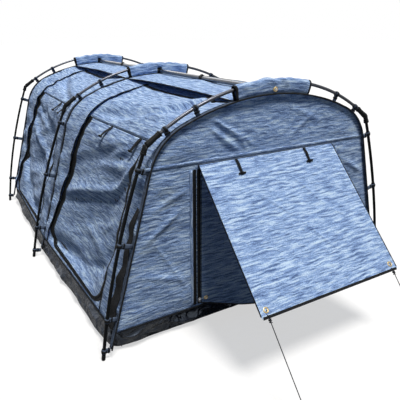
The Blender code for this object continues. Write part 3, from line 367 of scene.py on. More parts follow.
# %% Heathered canvas
def heathered_canvas(name, dark, middle, pale):
    made, tree, shader = finish(name, middle, 0.88)
    shader.inputs["Specular IOR Level"].default_value = 0.15
    long_streaks = speckle(tree, wavy_place(tree, 0.075, 0.020, (11, 112, 1)), 1.0, 2.0, 0.5, 0.3)
    dashes = speckle(tree, wavy_place(tree, 0.05, 0.012, (24, 190, 1)), 1.0, 2.0, 0.6, 0.3)
    grain = speckle(tree, place_of(tree, (170, 300, 1)), 1.0, 2.0, 0.7, 0.3)
    threads = speckle(tree, place_of(tree, (260, 1500, 1)), 1.0, 1.0)
    height = add_heights(tree, add_heights(tree, long_streaks, dashes, 0.60), grain, 0.62)
    colour = ramp(tree, maths(tree, "MULTIPLY", height, 0.5), ((0.43, dark), (0.550, middle), (0.655, pale)))
    yarn = ramp(tree, threads, ((0.30, 0.72), (0.70, 1.0)))
    shade = blend_colours(tree, "MULTIPLY", 0.55, colour, yarn)
    tree.links.new(shade, shader.inputs["Base Color"])
    weave = speckle(tree, place_of(tree, (700, 700, 1)), 1.0, 0.0)
    puckers = speckle(tree, place_of(tree, (26, 60, 1)), 1.0, 3.0, 0.55, 0.8)
    bump(tree, shader, add_heights(tree, puckers, weave, 0.10), 0.006, 0.9)
    shader.inputs["Sheen Weight"].default_value = 0.10
    shader.inputs["Sheen Roughness"].default_value = 0.5
    return made


DARK_YARN, SLATE_YARN, PALE_YARN = (0.075, 0.13, 0.29), (0.28, 0.43, 0.75), (0.64, 0.81, 1.0)
CANVAS = heathered_canvas("heathered_canvas", DARK_YARN, SLATE_YARN, PALE_YARN)

# %% [markdown]
# ## Trims, coated cloth, poles and fittings
# Webbing and tape are ribbed across their length. The tub is a coated cloth: dark, with soft reflections that
# break on its crumples. Poles and mouldings get fine scratches and a slightly uneven shine. Bump nodes do all
# this, because none of it stands out far enough to show in an outline. The tub's colour is lighter where its
# crumples rise, which is a painted sheen, and its reflections have a painted blue tint. The legs' finish is a
# darker copy of the crown tubes' alloy, which is painted shade.

# %% Trims and hardware finishes
def ribbed_tape(name, colour, rib_size, roughness=0.8):
    made, tree, shader = finish(name, colour, roughness)
    shader.inputs["Specular IOR Level"].default_value = 0.2
    place = place_of(tree, (1 / rib_size, 0.25 / rib_size, 1))
    wear = speckle(tree, place_of(tree, (60, 60, 1)), 1.0, 3.0)
    tint = ramp(tree, wear, ((0.3, times(colour, 0.6)), (0.75, times(colour, 1.5))))
    tree.links.new(tint, shader.inputs["Base Color"])
    wave = tree.nodes.new("ShaderNodeTexWave")
    wave.inputs["Scale"].default_value = 0.5
    tree.links.new(place, wave.inputs["Vector"])
    bump(tree, shader, add_heights(tree, wave.outputs["Fac"], wear, 0.5), 0.0005, 0.8)
    return made


def coated_cloth(name):
    made, tree, shader = finish(name, (0.02, 0.024, 0.034), 0.26)
    shader.inputs["Specular IOR Level"].default_value = 0.75
    # Painted reflection: the blue tint stands in for a blue sky mirrored in the tub, though the world it
    # reflects is white.
    shader.inputs["Specular Tint"].default_value = (0.70, 0.82, 1.0, 1)
    place = object_place(tree)
    crumples = speckle(tree, place, 9, 2.0, 0.4, 2.2)
    scuffs = speckle(tree, place, 70, 4.0, 0.6)
    # Painted sheen: the colour is lighter where the crumples rise, as if they caught the light.
    colour = ramp(tree, crumples, ((0.40, (0.004, 0.006, 0.011)), (0.66, (0.018, 0.023, 0.040))))
    tree.links.new(colour, shader.inputs["Base Color"])
    rough = ramp(tree, scuffs, ((0.3, 0.19), (0.7, 0.30)))
    tree.links.new(rough, shader.inputs["Roughness"])
    bump(tree, shader, add_heights(tree, crumples, scuffs, 0.003), 0.040)
    return made


def hard_finish(name, colour, roughness, metallic, wear_share=0.25, shine=0.5):
    """Metal or plastic whose roughness varies by a share either way."""
    made, tree, shader = finish(name, colour, roughness, metallic)
    shader.inputs["Specular IOR Level"].default_value = shine
    wear = speckle(tree, object_place(tree), 180, 4.0, 0.6)
    rough = ramp(tree, wear, ((0.3, roughness * (1 - wear_share)), (0.7, roughness * (1 + wear_share))))
    tree.links.new(rough, shader.inputs["Roughness"])
    tint = ramp(tree, wear, ((0.25, times(colour, 0.8)), (0.8, times(colour, 1.2))))
    tree.links.new(tint, shader.inputs["Base Color"])
    bump(tree, shader, wear, 0.00005, 0.3)
    return made


def insect_mesh(name):
    made, tree, shader = finish(name, (0.02, 0.022, 0.026), 0.8)
    holes = tree.nodes.new("ShaderNodeTexVoronoi")
    holes.inputs["Scale"].default_value = 1.0
    holes.inputs["Randomness"].default_value = 0.0
    tree.links.new(place_of(tree, (520, 520, 1)), holes.inputs["Vector"])
    cover = ramp(tree, holes.outputs["Distance"], ((0.34, 0.35), (0.46, 1.0)))
    tree.links.new(cover, shader.inputs["Alpha"])
    bump(tree, shader, holes.outputs["Distance"], 0.0003)
    return made


SLATE_TAPE = ribbed_tape("slate_tape", (0.085, 0.115, 0.175), 0.003)
BLACK_TAPE = ribbed_tape("black_tape", (0.006, 0.007, 0.009), 0.002)
BLACK_ZIP = ribbed_tape("zip_tape", (0.004, 0.005, 0.006), 0.0016, 0.6)
CORD = ribbed_tape("guy_cord", (0.02, 0.022, 0.027), 0.0025)
THREAD = ribbed_tape("sewing_thread", (0.20, 0.25, 0.34), 0.0006)
COATED = coated_cloth("coated_cloth")
# The legs' finish is a darker, duller copy of the crown tubes' alloy: painted shade, since the legs stand in
# shadow.
SHADED_LEG_FINISH = hard_finish("leg_finish_painted_shade", (0.004, 0.005, 0.006), 0.40, 0.0, 0.2, 0.10)
ALLOY = hard_finish("anodised_alloy", (0.075, 0.08, 0.095), 0.30, 1.0, 0.08)
RIDGE_ALLOY = hard_finish("ridge_alloy", (0.13, 0.14, 0.16), 0.26, 1.0, 0.1)
MOULDED = hard_finish("moulded_plastic", (0.006, 0.007, 0.008), 0.45, 0.0, 0.25, 0.12)
BRASS = hard_finish("brass", (0.60, 0.47, 0.25), 0.30, 1.0)
NICKEL = hard_finish("nickel", (0.62, 0.63, 0.66), 0.25, 1.0)
SCREEN = insect_mesh("insect_mesh")
TICKING = ribbed_tape("mattress_cover", (0.36, 0.38, 0.42), 0.0012, 0.9)
print("materials:", len(bpy.data.materials))

# %% [markdown]
# ## Where each cloth lies
# The canvas body is a loft: straight leaning sides, a round shoulder and a flat crown at every station along
# the tent. A share says how far up the arch a point lies, from 0 at the tub to 1 at the crown. One function
# places the canvas, its flaps, screens, strips and tapes, so they can't drift apart.

# %% The arch of the body
TUB_TOP, SEAT = 0.110, 0.0006
SIDE_SHARE, SHOULDER_SHARE = 0.5, 0.16
CROWN_SHARE = 1 - SIDE_SHARE - SHOULDER_SHARE
CROWN_RADIUS, SHOULDER_RADIUS = 1.06, 0.24
CROWN_TOP, SPINE_HALF = 1.003, 0.195


def spread_of(y):
    return max(0.0, 1 - abs(y) / BAY)


class Arch:
    """The body's outline at one station along the tent."""

    def __init__(self, y):
        spread_share = spread_of(y)
        self.lean = radians(15.8 + 1.2 * spread_share)
        foot_height = TUB_TOP + SEAT + WALL * sin(self.lean)
        self.foot = Vector((0.748 + 0.031 * spread_share, foot_height))
        self.up_side = Vector((-sin(self.lean), cos(self.lean)))
        self.out_side = Vector((cos(self.lean), sin(self.lean)))
        self.crown_centre = Vector((0, CROWN_TOP - CROWN_RADIUS))
        inner = self.foot - self.out_side * SHOULDER_RADIUS
        offset = inner - self.crown_centre
        lead = offset.dot(self.up_side)
        reach = offset.length_squared - (CROWN_RADIUS - SHOULDER_RADIUS) ** 2
        self.side_length = -lead + sqrt(lead**2 - reach)
        self.shoulder = inner + self.up_side * self.side_length
        to_shoulder = self.shoulder - self.crown_centre
        self.crown_angle = atan2(to_shoulder.x, to_shoulder.y)

    def at(self, share):
        """The point at a share of the arch, and the direction that faces out there."""
        if share <= SIDE_SHARE:
            return self.foot + self.up_side * self.side_length * (share / SIDE_SHARE), self.out_side
        if share <= SIDE_SHARE + SHOULDER_SHARE:
            part = (share - SIDE_SHARE) / SHOULDER_SHARE
            angle = mix(self.lean, pi / 2 - self.crown_angle, part)
            normal = Vector((cos(angle), sin(angle)))
            return self.shoulder + normal * SHOULDER_RADIUS, normal
        part = (share - SIDE_SHARE - SHOULDER_SHARE) / CROWN_SHARE
        angle = mix(self.crown_angle, 0, part)
        normal = Vector((sin(angle), cos(angle)))
        return self.crown_centre + normal * CROWN_RADIUS, normal

    def share_at_half(self, half):
        """The share at a distance from the tent's middle plane."""
        part = 1 - asin(half / CROWN_RADIUS) / self.crown_angle
        return mix(SIDE_SHARE + SHOULDER_SHARE, 1, part)


END = Arch(FRONT)
SHOULDER_LENGTH = SHOULDER_RADIUS * (pi / 2 - END.crown_angle - END.lean)
CROWN_LENGTH = CROWN_RADIUS * END.crown_angle
# Shares of the side openings' sill, of the seam that the flaps hang from and of the spine cover's edge
SILL = SIDE_SHARE * 0.018 / END.side_length
SEAM = SIDE_SHARE + SHOULDER_SHARE * 0.53
SPINE_EDGE = END.share_at_half(SPINE_HALF)
print("side", round(END.side_length, 3), "shoulder", round(SHOULDER_LENGTH, 3),
      "crown", round(CROWN_LENGTH, 3))


def length_at(share):
    """Metres of cloth from the tub seam up to a share."""
    side = END.side_length * min(share, SIDE_SHARE) / SIDE_SHARE
    shoulder = SHOULDER_LENGTH * clamp((share - SIDE_SHARE) / SHOULDER_SHARE)
    crown = CROWN_LENGTH * clamp((share - SIDE_SHARE - SHOULDER_SHARE) / CROWN_SHARE)
    return side + shoulder + crown


def cloth_uv(side, share, y):
    """Streaks run along the tent; the map goes on over the crown."""
    whole = length_at(1.0)
    return (y + 3, length_at(share) if side < 0 else 2 * whole - length_at(share))


# %% Sag, folds and crumples of the hanging canvas
BAY_SAG, SPINE_SAG, FOLD_DEPTH = 0.026, 0.005, 0.010


def bay_share(y):
    return (y % BAY) / BAY


def slack(share, y, sag):
    """How far the cloth lies inside the arch: the sag of the model in model.glb."""
    along = bay_share(y)
    between = 4 * along * (1 - along)
    above_tub = min(1.0, share / (SIDE_SHARE / 2))
    wave = sin(2 * pi * 2 * (along + 0.8 * share))
    clear_of_spine = clamp((0.9 - share) / 0.2)
    fold = FOLD_DEPTH * between * above_tub * clear_of_spine * (1 + wave) / 2
    return sag * between * above_tub + (fold if sag == BAY_SAG else 0)


# Rise of the cloth against the metres of cloth above the tub: three slow folds that run along the bay
SIDE_PROFILE = ((0.0, 0.0), (0.035, -0.015), (0.07, -0.030), (0.10, -0.025), (0.15, -0.011), (0.20, -0.005),
                (0.26, -0.002), (0.34, 0.000), (0.37, -0.001), (0.395, -0.004), (0.44, 0.015), (0.475, 0.001),
                (0.51, -0.003), (0.56, -0.008), (0.60, -0.013), (0.625, -0.009), (0.66, 0.006), (0.72, 0.004),
                (0.80, 0.007), (0.845, -0.004), (0.88, -0.015), (0.93, 0.015), (1.03, 0.003), (1.12, 0.0),
                (1.34, 0.0))
BAY_FOLDS = (
    # start, end, height and width of each fold, in metres from the bay's outer hoop and up from the tub
    ((0.12, 0.78), (0.48, 0.62), 0.018, 0.024), ((0.14, 0.66), (0.60, 0.56), 0.014, 0.024),
    ((0.10, 0.84), (0.38, 0.79), 0.006, 0.013), ((0.10, 0.80), (0.36, 0.73), 0.007, 0.014),
    ((0.08, 0.93), (0.42, 0.89), 0.012, 0.017), ((0.24, 0.39), (0.37, 0.30), 0.007, 0.009),
    ((0.30, 0.10), (0.76, 0.13), 0.008, 0.022), ((0.62, 0.44), (0.98, 0.36), 0.008, 0.024),
    ((0.55, 0.76), (0.90, 0.66), 0.007, 0.022), ((0.28, 0.22), (0.66, 0.27), 0.006, 0.022),
)


def ridge(x, z, start, end, height, width):
    """A soft ridge between two points, fading at both of its ends."""
    (from_x, from_z), (to_x, to_z) = start, end
    along_x, along_z = to_x - from_x, to_z - from_z
    part = clamp(((x - from_x) * along_x + (z - from_z) * along_z) / (along_x**2 + along_z**2))
    gap = (x - from_x - part * along_x) ** 2 + (z - from_z - part * along_z) ** 2
    if gap > 9 * width**2:
        return 0.0
    return height * exp(-gap / width**2) * sin(pi * clamp(part, 0.03, 0.97)) ** 0.6


def along_curve(table, at):
    """The value at a place of a smooth curve through (place, value) pairs."""
    places = [place for place, _ in table]
    index = max(0, min(len(table) - 2, sum(place <= at for place in places) - 1))
    before, start, end, after = (table[max(0, min(len(table) - 1, index + k))][1] for k in (-1, 0, 1, 2))
    part = clamp((at - places[index]) / (places[index + 1] - places[index]))
    slope_in, slope_out = (end - before) / 2, (after - start) / 2
    return (start * (2 * part**3 - 3 * part**2 + 1) + end * (3 * part**2 - 2 * part**3)
            + slope_in * (part**3 - 2 * part**2 + part) + slope_out * (part**3 - part**2))


def drag_folds(side, share, y, front, rear):
    """The slow folds that sag across a bay and the tight ones that fan out from the hoop's shoulder."""
    up = length_at(share)
    near, far = strip_widths(share)[::1 if (side < 0) == (y < 0) else -1]
    rise = 0.27 * (0.56 - front) + 2.5 * max(0.0, 0.36 - front) ** 2
    place = up - rise + 0.03 * noise.noise(Vector((y * 2.6, side, 6.6)))
    slow = along_curve(SIDE_PROFILE, place if up > 0.12 else mix(up, place, up / 0.12))
    tight = sum(ridge(front, up, *fold) for fold in BAY_FOLDS)
    slow_hold = smooth((front - near + 0.04) / 0.13) * smooth((rear - far + 0.05) / 0.15)
    return slow * slow_hold + tight * smooth((front - 0.01) / 0.24) * smooth((rear - 0.10) / 0.38)


def crumple(side, share, y):
    """All folds of the hanging cloth; they die out at the hoops, the tub, the flap's seam and the spine."""
    along = bay_share(y)
    hold = smooth(min(along, 1 - along) / 0.16) * smooth(share / 0.10) * smooth((0.93 - share) / 0.14)
    up = length_at(share)
    drift = 0.10 * noise.noise(Vector((y * 1.4, up * 1.2, 3.1 + side)))
    broad = noise.noise(Vector((y * 1.1 + 5 * side, (up + 0.16 * y + drift) * 5.2, 1.7)))
    fine = noise.noise(Vector((y * 3.4, (up + 0.25 * y + drift) * 15, 9.2 + side)))
    tight = noise.noise(Vector((y * 11, up * 30, 4.4 + side)))
    loose = hold * (0.0150 * broad + 0.0100 * fine) + 0.0022 * tight * smooth(share / 0.05)
    front, rear = (along, 1 - along) if (side < 0) == (y < 0) else (1 - along, along)
    pulled = max(0.0, 1 - min(front, rear) * BAY / 0.13)
    tugs = 0.090 * pulled**2 * (1 - pulled) * noise.noise(Vector((y * 6, up * 17, 7.7 * side)))
    sewn = mix(0.06, 1.0, smooth((abs(up - UP_SEAM) - 0.010) / 0.075))
    return sewn * (loose + tugs + drag_folds(side, share, y, front * BAY, rear * BAY))


def canvas_point(side, share, y, lift=0.0, sag=BAY_SAG):
    """A point of the canvas, or of what lies a lift above it."""
    point, normal = Arch(y).at(share)
    folds = crumple(side, share, y) if sag == BAY_SAG else 0.0
    point = point + normal * (lift + folds - slack(share, y, sag))
    return Vector((side * point.x, y, point.y))


# %% Guy ropes
KNOT_PROFILE = ((0.0002, -KNOT_HALF), (0.0042, -0.0045), (0.006, -0.001), (0.0052, 0.002), (0.0038, 0.0045),
                (0.0002, KNOT_HALF))
WRAP_RADIUS, WRAP_RISE, WRAP_THICK = 0.0052, 0.0011, 0.0014


def guy_rope(hand, top, foot):
    """One taut cord with a knot at both ends: a bulge with two turns of cord round it."""
    path = [top.lerp(foot, k / 24) for k in range(25)]
    rope = piece(f"guy_rope_{hand}_cord", sweep(path, ROPE, 10), CORD, "awning", f"guy_rope_{hand}")
    bulges, wraps = [], []
    for end in (top, foot):
        place = facing(end, foot - top, "Y")
        turns = [k * pi / 8 for k in range(34)]
        wrap = [place @ Vector((WRAP_RADIUS * cos(t), WRAP_RADIUS * sin(t), WRAP_RISE * t - 0.0035))
                for t in turns]
        bulges.append(lathe(KNOT_PROFILE, place, 16))
        wraps.append(sweep(wrap, WRAP_THICK, 6))
    knots = piece(f"guy_knots_{hand}", join(bulges + wraps), CORD, "awning")


for hand, (top, foot) in rope_routes.items():
    guy_rope(hand, top, foot)


# %% Flat cloth coordinates
def share_at(up):
    """The share at a number of metres of cloth above the tub seam."""
    if up <= END.side_length:
        return SIDE_SHARE * up / END.side_length
    up -= END.side_length
    if up <= SHOULDER_LENGTH:
        return SIDE_SHARE + SHOULDER_SHARE * up / SHOULDER_LENGTH
    return SIDE_SHARE + SHOULDER_SHARE + CROWN_SHARE * (up - SHOULDER_LENGTH) / CROWN_LENGTH


UP_SILL, UP_SEAM, UP_SPINE, UP_TOP = (length_at(share) for share in (SILL, SEAM, SPINE_EDGE, 1.0))
ZIP_MARGIN, CORNER = 0.016, 0.10


def strip_widths(share):
    """Widths of the storm strips behind the bay's front hoop and before its rear hoop."""
    if share <= SEAM:
        part = (share - SILL) / (SEAM - SILL)
        return mix(0.176, 0.122, part) + 0.020 * sin(pi * part), mix(0.07, 0.235, part)
    part = (share - SEAM) / (1 - SEAM)
    return 0.12, mix(0.235, 0.25, part)


def opening_edges(share, bay_front, margin=0.0):
    """The two ends of a side opening at a share; its lower corners are rounded."""
    front, rear = strip_widths(share)
    above = clamp((length_at(share) - UP_SILL) / CORNER)
    inset = CORNER * (1 - sqrt(1 - (1 - above) ** 2)) if share < SEAM else 0.0
    edge = ZIP_MARGIN + inset + margin
    return bay_front + front + edge, bay_front + BAY - rear - edge


def opening_shares():
    """The shares of the rows across an opening: close together at the rounded corners."""
    turns = [SILL + SIDE_SHARE * CORNER * (1 - cos(k * pi / 20)) / END.side_length for k in range(10)]
    first = share_at(UP_SILL + CORNER)
    return turns + [share_at(up) for up in spread(length_at(first), UP_SEAM, 66)]


OPENING_SHARES = opening_shares()
print("side opening:", len(OPENING_SHARES), "rows, seam", round(UP_SEAM, 3), "m above the tub")


def outline_of_opening(bay_front, margin=0.0):
    """The opening's U-shaped edge on the flat cloth: down at the front, along the sill and up."""
    front = [(opening_edges(share, bay_front, margin)[0], length_at(share)) for share in OPENING_SHARES[::-1]]
    rear = [(opening_edges(share, bay_front, margin)[1], length_at(share)) for share in OPENING_SHARES]
    sill = [(y, UP_SILL) for y in spread(front[-1][0], rear[0][0], 30)[1:-1]]
    return front + sill + rear


def offset_path(path, out, level_share=1.0):
    """The path moved sideways on the flat cloth; positive is away from the opening."""
    moved = []
    for index, (y, up) in enumerate(path):
        before, after = path[max(index - 1, 0)], path[min(index + 1, len(path) - 1)]
        way = Vector((after[0] - before[0], after[1] - before[1])).normalized()
        step = out * mix(1.0, level_share, way.x**2)
        moved.append((y + way.y * step, up - way.x * step))
    return moved


def on_cloth(side, path, lift):
    """A path of (y, up) pairs put on the canvas."""
    return [canvas_point(side, share_at(max(0.0, up)), y, lift) for y, up in path]


def cloth_rows(side, shares, stations_of, lift=0.0):
    """Points and UVs of a cloth; on the right side they run downwards, so that the faces point out."""
    rows, uvs = [], []
    for share in shares[::-side]:
        stations = stations_of(share)
        rows.append([canvas_point(side, share, y, lift) for y in stations])
        uvs.append([cloth_uv(side, share, y) for y in stations])
    return rows, uvs


def cloth_tape(side, path, inner, outer, lift, columns=3, level_share=1.0):
    """A tape sewn on the cloth between two offsets of a path; its level runs may be narrower."""
    lanes = [offset_path(path, mix(inner, outer, k / (columns - 1)), level_share) for k in range(columns)]
    rows = [on_cloth(side, lane, lift) for lane in lanes]
    lengths = [0.0]
    for before, after in zip(path, path[1:]):
        lengths.append(lengths[-1] + sqrt((after[0] - before[0]) ** 2 + (after[1] - before[1]) ** 2))
    uvs = [[(length, k * (outer - inner) / (columns - 1)) for length in lengths] for k in range(columns)]
    if side < 0:
        rows, uvs = rows[::-1], uvs[::-1]
    return grid(rows, uvs)


# %% [markdown]
# ## Stitches and zip teeth
# Both are one small shape repeated along a path, so one Geometry Nodes tree makes them: it walks the path at
# a given spacing, turns a small bead along it and stretches the bead.

# %% Beads along a path
def bead_tree():
    tree = bpy.data.node_groups.new("beads_along_path", "GeometryNodeTree")
    tree.interface.new_socket("Path", in_out="INPUT", socket_type="NodeSocketGeometry")
    for label in ("Spacing", "Bead length", "Bead radius"):
        tree.interface.new_socket(label, in_out="INPUT", socket_type="NodeSocketFloat")
    tree.interface.new_socket("Finish", in_out="INPUT", socket_type="NodeSocketMaterial")
    tree.interface.new_socket("Beads", in_out="OUTPUT", socket_type="NodeSocketGeometry")
    kinds = ("NodeGroupInput", "GeometryNodeMeshToCurve", "GeometryNodeCurveToPoints",
             "FunctionNodeAlignRotationToVector", "GeometryNodeMeshIcoSphere", "ShaderNodeCombineXYZ",
             "GeometryNodeInstanceOnPoints", "GeometryNodeRealizeInstances", "GeometryNodeSetMaterial",
             "NodeGroupOutput")
    made = [tree.nodes.new(kind) for kind in kinds]
    source, curve, walk, turn, bead, stretch, put, real, paint, result = made
    walk.mode = "LENGTH"
    turn.axis = "Z"
    bead.inputs["Radius"].default_value = 1.0
    bead.inputs["Subdivisions"].default_value = 1
    for start, end in (
        (source.outputs["Path"], curve.inputs["Mesh"]), (curve.outputs["Curve"], walk.inputs["Curve"]),
        (source.outputs["Spacing"], walk.inputs["Length"]), (walk.outputs["Tangent"], turn.inputs["Vector"]),
        (source.outputs["Bead radius"], stretch.inputs["X"]),
        (source.outputs["Bead radius"], stretch.inputs["Y"]),
        (source.outputs["Bead length"], stretch.inputs["Z"]), (walk.outputs["Points"], put.inputs["Points"]),
        (bead.outputs["Mesh"], put.inputs["Instance"]), (turn.outputs["Rotation"], put.inputs["Rotation"]),
        (stretch.outputs["Vector"], put.inputs["Scale"]), (put.outputs["Instances"], real.inputs["Geometry"]),
        (real.outputs["Geometry"], paint.inputs["Geometry"]),
        (source.outputs["Finish"], paint.inputs["Material"]),
        (paint.outputs["Geometry"], result.inputs["Beads"]),
    ):
        tree.links.new(start, end)
    return tree


BEADS = bead_tree()
SOCKETS = {item.name: item.identifier for item in BEADS.interface.items_tree if item.in_out == "INPUT"}


def beads(name, paths, body, spacing, length, radius, finish_used):
    """Small beads along every path, as one plain mesh that rides on a body. A bead has 20 faces."""
    made = bmesh.new()
    for path in paths:
        points = [made.verts.new(point) for point in path]
        for before, after in zip(points, points[1:]):
            made.edges.new((before, after))
    guide = bpy.data.objects.new(name, finished(made, name))
    bpy.context.scene.collection.objects.link(guide)
    step = guide.modifiers.new("beads", "NODES")
    step.node_group = BEADS
    for label, value in (("Spacing", spacing), ("Bead length", length / 2), ("Bead radius", radius),
                         ("Finish", finish_used)):
        step[SOCKETS[label]] = value
    seen = guide.evaluated_get(bpy.context.evaluated_depsgraph_get())
    mesh = bpy.data.meshes.new_from_object(seen)
    bpy.data.objects.remove(guide)
    print(name, "beads:", len(mesh.polygons) // 20)
    piece(name, mesh, finish_used, body)


def stitches(name, paths, body="shell"):
    beads(name, paths, body, 0.006, 0.0042, 0.0005, THREAD)


def zip_teeth(name, paths):
    beads(name, paths, "shell", 0.0030, 0.0024, 0.0019, MOULDED)


# %% [markdown]
# ## The canvas of each bay
# One piece of canvas runs from the tub over the crown to the other side. Its grid has three zones between the
# hoops, so the rows stop exactly at the rounded edge of the side openings. A boolean could cut them, but it
# would break up the even grid that the folds and the UV map need.

# %% Bay canvases
BAYS = (("front", FRONT), ("rear", 0.0))
FRONT_ZONE, OPENING_ZONE, REAR_ZONE = 14, 64, 18
HOOP_GAP = 0.0003


def bay_canvas(bay, bay_front):
    """The canvas of one bay, from tub to tub, with a hole for the opening on either side."""
    low_rows = [0.0, share_at(0.5 * UP_SILL)]
    shares = low_rows + OPENING_SHARES + [share_at(up) for up in spread(UP_SEAM, UP_TOP, 46)[1:]]

    def stations(share):
        low, high = opening_edges(share, bay_front)
        start, end = bay_front + HOOP_GAP, bay_front + BAY - HOOP_GAP
        return (spread(start, low, FRONT_ZONE) + spread(low, high, OPENING_ZONE)[1:]
                + spread(high, end, REAR_ZONE)[1:])

    left, right = cloth_rows(-1, shares, stations), cloth_rows(1, shares[:-1], stations)
    rows, uvs = left[0] + right[0], left[1] + right[1]
    first = len(low_rows)
    after = first + len(OPENING_SHARES) - 1
    last = len(rows) - 2

    def is_open(i, j):
        inside = first <= i < after or first <= last - i < after
        return inside and FRONT_ZONE <= j < FRONT_ZONE + OPENING_ZONE

    canvas = piece(f"{bay}_bay_cloth", grid(rows, uvs, is_open), CANVAS, "shell", f"{bay}_bay_canvas")
    thicken(canvas, WALL)


for bay, bay_front in BAYS:
    bay_canvas(bay, bay_front)

# %% [markdown]
# ## Side flaps, zips and insect screens
# Each side opening has a flap that hangs from a seam at shoulder height and is zipped down both sides and
# along the sill. The flap is the same surface as the canvas, cut out with a small gap. Black piping edges it,
# and a black zip tape with its teeth lies round the opening. A strip of canvas covers the flap's upper seam.

# %% Side flaps
GAP, HINGE_GAP = 0.002, 0.0045
TAPE_LIFT, TAPE_THICK = 0.0012, 0.001
FLAP_LIFT, FLAP_THICK, FLAP_PIPING = 0.0003, 0.0015, 0.0024
SEAM_UP, SEAM_HALF = UP_SEAM + 0.0110, 0.005
SCREEN_BORDER, SCREEN_DEPTH, SCREEN_THICK = 0.010, WALL + 0.0012, 0.0006


def tape_on_cloth(name, body, *tape):
    thicken(piece(name, cloth_tape(*tape), BLACK_ZIP, body), TAPE_THICK)


def side_flap(bay, bay_front, hand, side):
    """The flap with its piping, its half of the zip and its hem stitches."""
    body = f"flap_{bay}_{hand}"
    shares = [share_at(UP_SILL + GAP), *OPENING_SHARES[1:-1], share_at(UP_SEAM - HINGE_GAP)]

    def stations(share):
        return spread(*opening_edges(share, bay_front, GAP), OPENING_ZONE)

    rows, uvs = cloth_rows(side, shares, stations, FLAP_LIFT)
    flap = piece(f"flap_cloth_{bay}_{hand}", grid(rows, uvs), CANVAS, body, f"side_flap_{bay}_{hand}")
    thicken(flap, FLAP_THICK)
    outline = outline_of_opening(bay_front, GAP)
    piping = on_cloth(side, offset_path(outline, -0.002), 0.0004)
    edge = piece(f"flap_piping_{bay}_{hand}", sweep(piping, FLAP_PIPING, 8), BLACK_TAPE, body)
    tape_on_cloth(f"flap_zip_tape_{bay}_{hand}", body, side, outline, -0.016, -0.003, TAPE_LIFT, 3, 0.35)
    stitches(f"flap_stitches_{bay}_{hand}", [on_cloth(side, offset_path(outline, -0.019), 0.0006)], body)


def zip_round_opening(bay, bay_front, hand, side):
    """What is sewn on the canvas: the zip's tape and teeth, and the seam that the flap hangs from."""
    outline = outline_of_opening(bay_front)
    tape_on_cloth(f"zip_tape_{bay}_{hand}", "shell", side, outline, -0.0005, ZIP_MARGIN + 0.012, TAPE_LIFT,
                  5, 0.30)
    zip_teeth(f"zip_teeth_{bay}_{hand}", [on_cloth(side, offset_path(outline, 0.0025), 0.0026)])
    low, high = opening_edges(SEAM, bay_front)
    path = [(y, SEAM_UP) for y in spread(low - 0.01, high + 0.01, 40)]
    seam = cloth_tape(side, path, -SEAM_HALF, SEAM_HALF, TAPE_LIFT)
    thicken(piece(f"flap_seam_{bay}_{hand}", seam, CANVAS, "shell"), TAPE_THICK)
    lines = [on_cloth(side, offset_path(path, offset), 0.0017) for offset in (-0.003, 0.003)]
    stitches(f"seam_stitches_{bay}_{hand}", lines)


def insect_screen(bay, bay_front, hand, side):
    """The mesh inside the opening, a border larger than it all round."""
    def stations(share):
        return spread(*opening_edges(clamp(share, SILL, SEAM), bay_front, -SCREEN_BORDER), 30)

    shares = [share_at(up) for up in spread(UP_SILL - SCREEN_BORDER, UP_SEAM + SCREEN_BORDER, 30)]
    rows, uvs = cloth_rows(side, shares, stations, -SCREEN_DEPTH)
    screen = piece(f"insect_screen_{bay}_{hand}", grid(rows, uvs), SCREEN, "shell", f"side_mesh_{bay}_{hand}")
    thicken(screen, SCREEN_THICK)


for bay, bay_front in BAYS:
    for hand, side in HANDS:
        side_flap(bay, bay_front, hand, side)
        zip_round_opening(bay, bay_front, hand, side)
        insect_screen(bay, bay_front, hand, side)

# %% [markdown]
# ## Storm strips
# A strip of canvas beside each hoop covers the zip below it. It is sewn down at the hoop, and its other edge
# is free, so it curls off the canvas by a few millimetres and casts a dark line. A black sheet on the strip
# behind each leg of the front hoop is painted shade for the deep shadow beside the pole. The curl is a
# formula, so it can match the photograph.

# %% Storm strips
STRIP_LIFT, STRIP_THICK, STRIP_EDGE = 0.0026, 0.0014, 0.0026
PATCH_TOP, PATCH_LIFT, PATCH_THICK = 0.52, 0.0084, 0.0012


def strip_top(at_rear):
    return UP_SPINE + 0.02 if at_rear else UP_SEAM + 0.02


def strip_point(bay_front, side, at_rear, share, across, lift=STRIP_LIFT):
    """A point of a storm strip: flat at its hoop, lifted and puckered towards its free edge."""
    top = strip_top(at_rear)
    hoop, way = (bay_front + BAY, -1) if at_rear else (bay_front, 1)
    free, slack_cloth = (0.011, 0.012) if at_rear else (0.005, 0.011)
    part = across / strip_widths(share)[1 if at_rear else 0]
    ends = smooth(length_at(share) / 0.05) * smooth((top - length_at(share)) / 0.10)
    ripple = noise.noise(Vector((share * 9, way * 3 + side, hoop + across * 3)))
    pucker = noise.noise(Vector((share * 20 + across * 12, side, hoop + across * 9)))
    lifted = free * (1 - 0.5 * smooth((share - SEAM) / 0.08))
    curl = (lifted + 0.8 * free * ripple) * part**2 + slack_cloth * pucker * sin(pi * part) ** 2
    y = hoop + way * across
    return canvas_point(side, share, y, lift + max(0.0, curl * ends)), cloth_uv(side, share, y)


def storm_strip(name, bay_front, side, at_rear):
    """A strip from its hoop to its free edge, which is bound with a black cord and stitched."""
    top = strip_top(at_rear)
    rows, uvs, edge, hem = [], [], [], []
    for up in spread(0.004, top, 90)[::-side]:
        share = share_at(up)
        stations = spread(0.004, strip_widths(share)[1 if at_rear else 0], 10)
        row, row_uvs = zip(*(strip_point(bay_front, side, at_rear, share, across) for across in stations))
        edge.append(row[-1])
        hem.append(row[-2] + (row[-2] - row[-3]) * 0.1)
        rows.append(row[::-1] if at_rear else row)
        uvs.append(row_uvs[::-1] if at_rear else row_uvs)
    strip = piece(f"storm_strip_{name}", grid(rows, uvs), CANVAS, "shell")
    thicken(strip, STRIP_THICK)
    piece(f"strip_edge_{name}", sweep(edge, STRIP_EDGE, 6), BLACK_TAPE, "shell")
    stitches(f"strip_stitches_{name}", [hem])


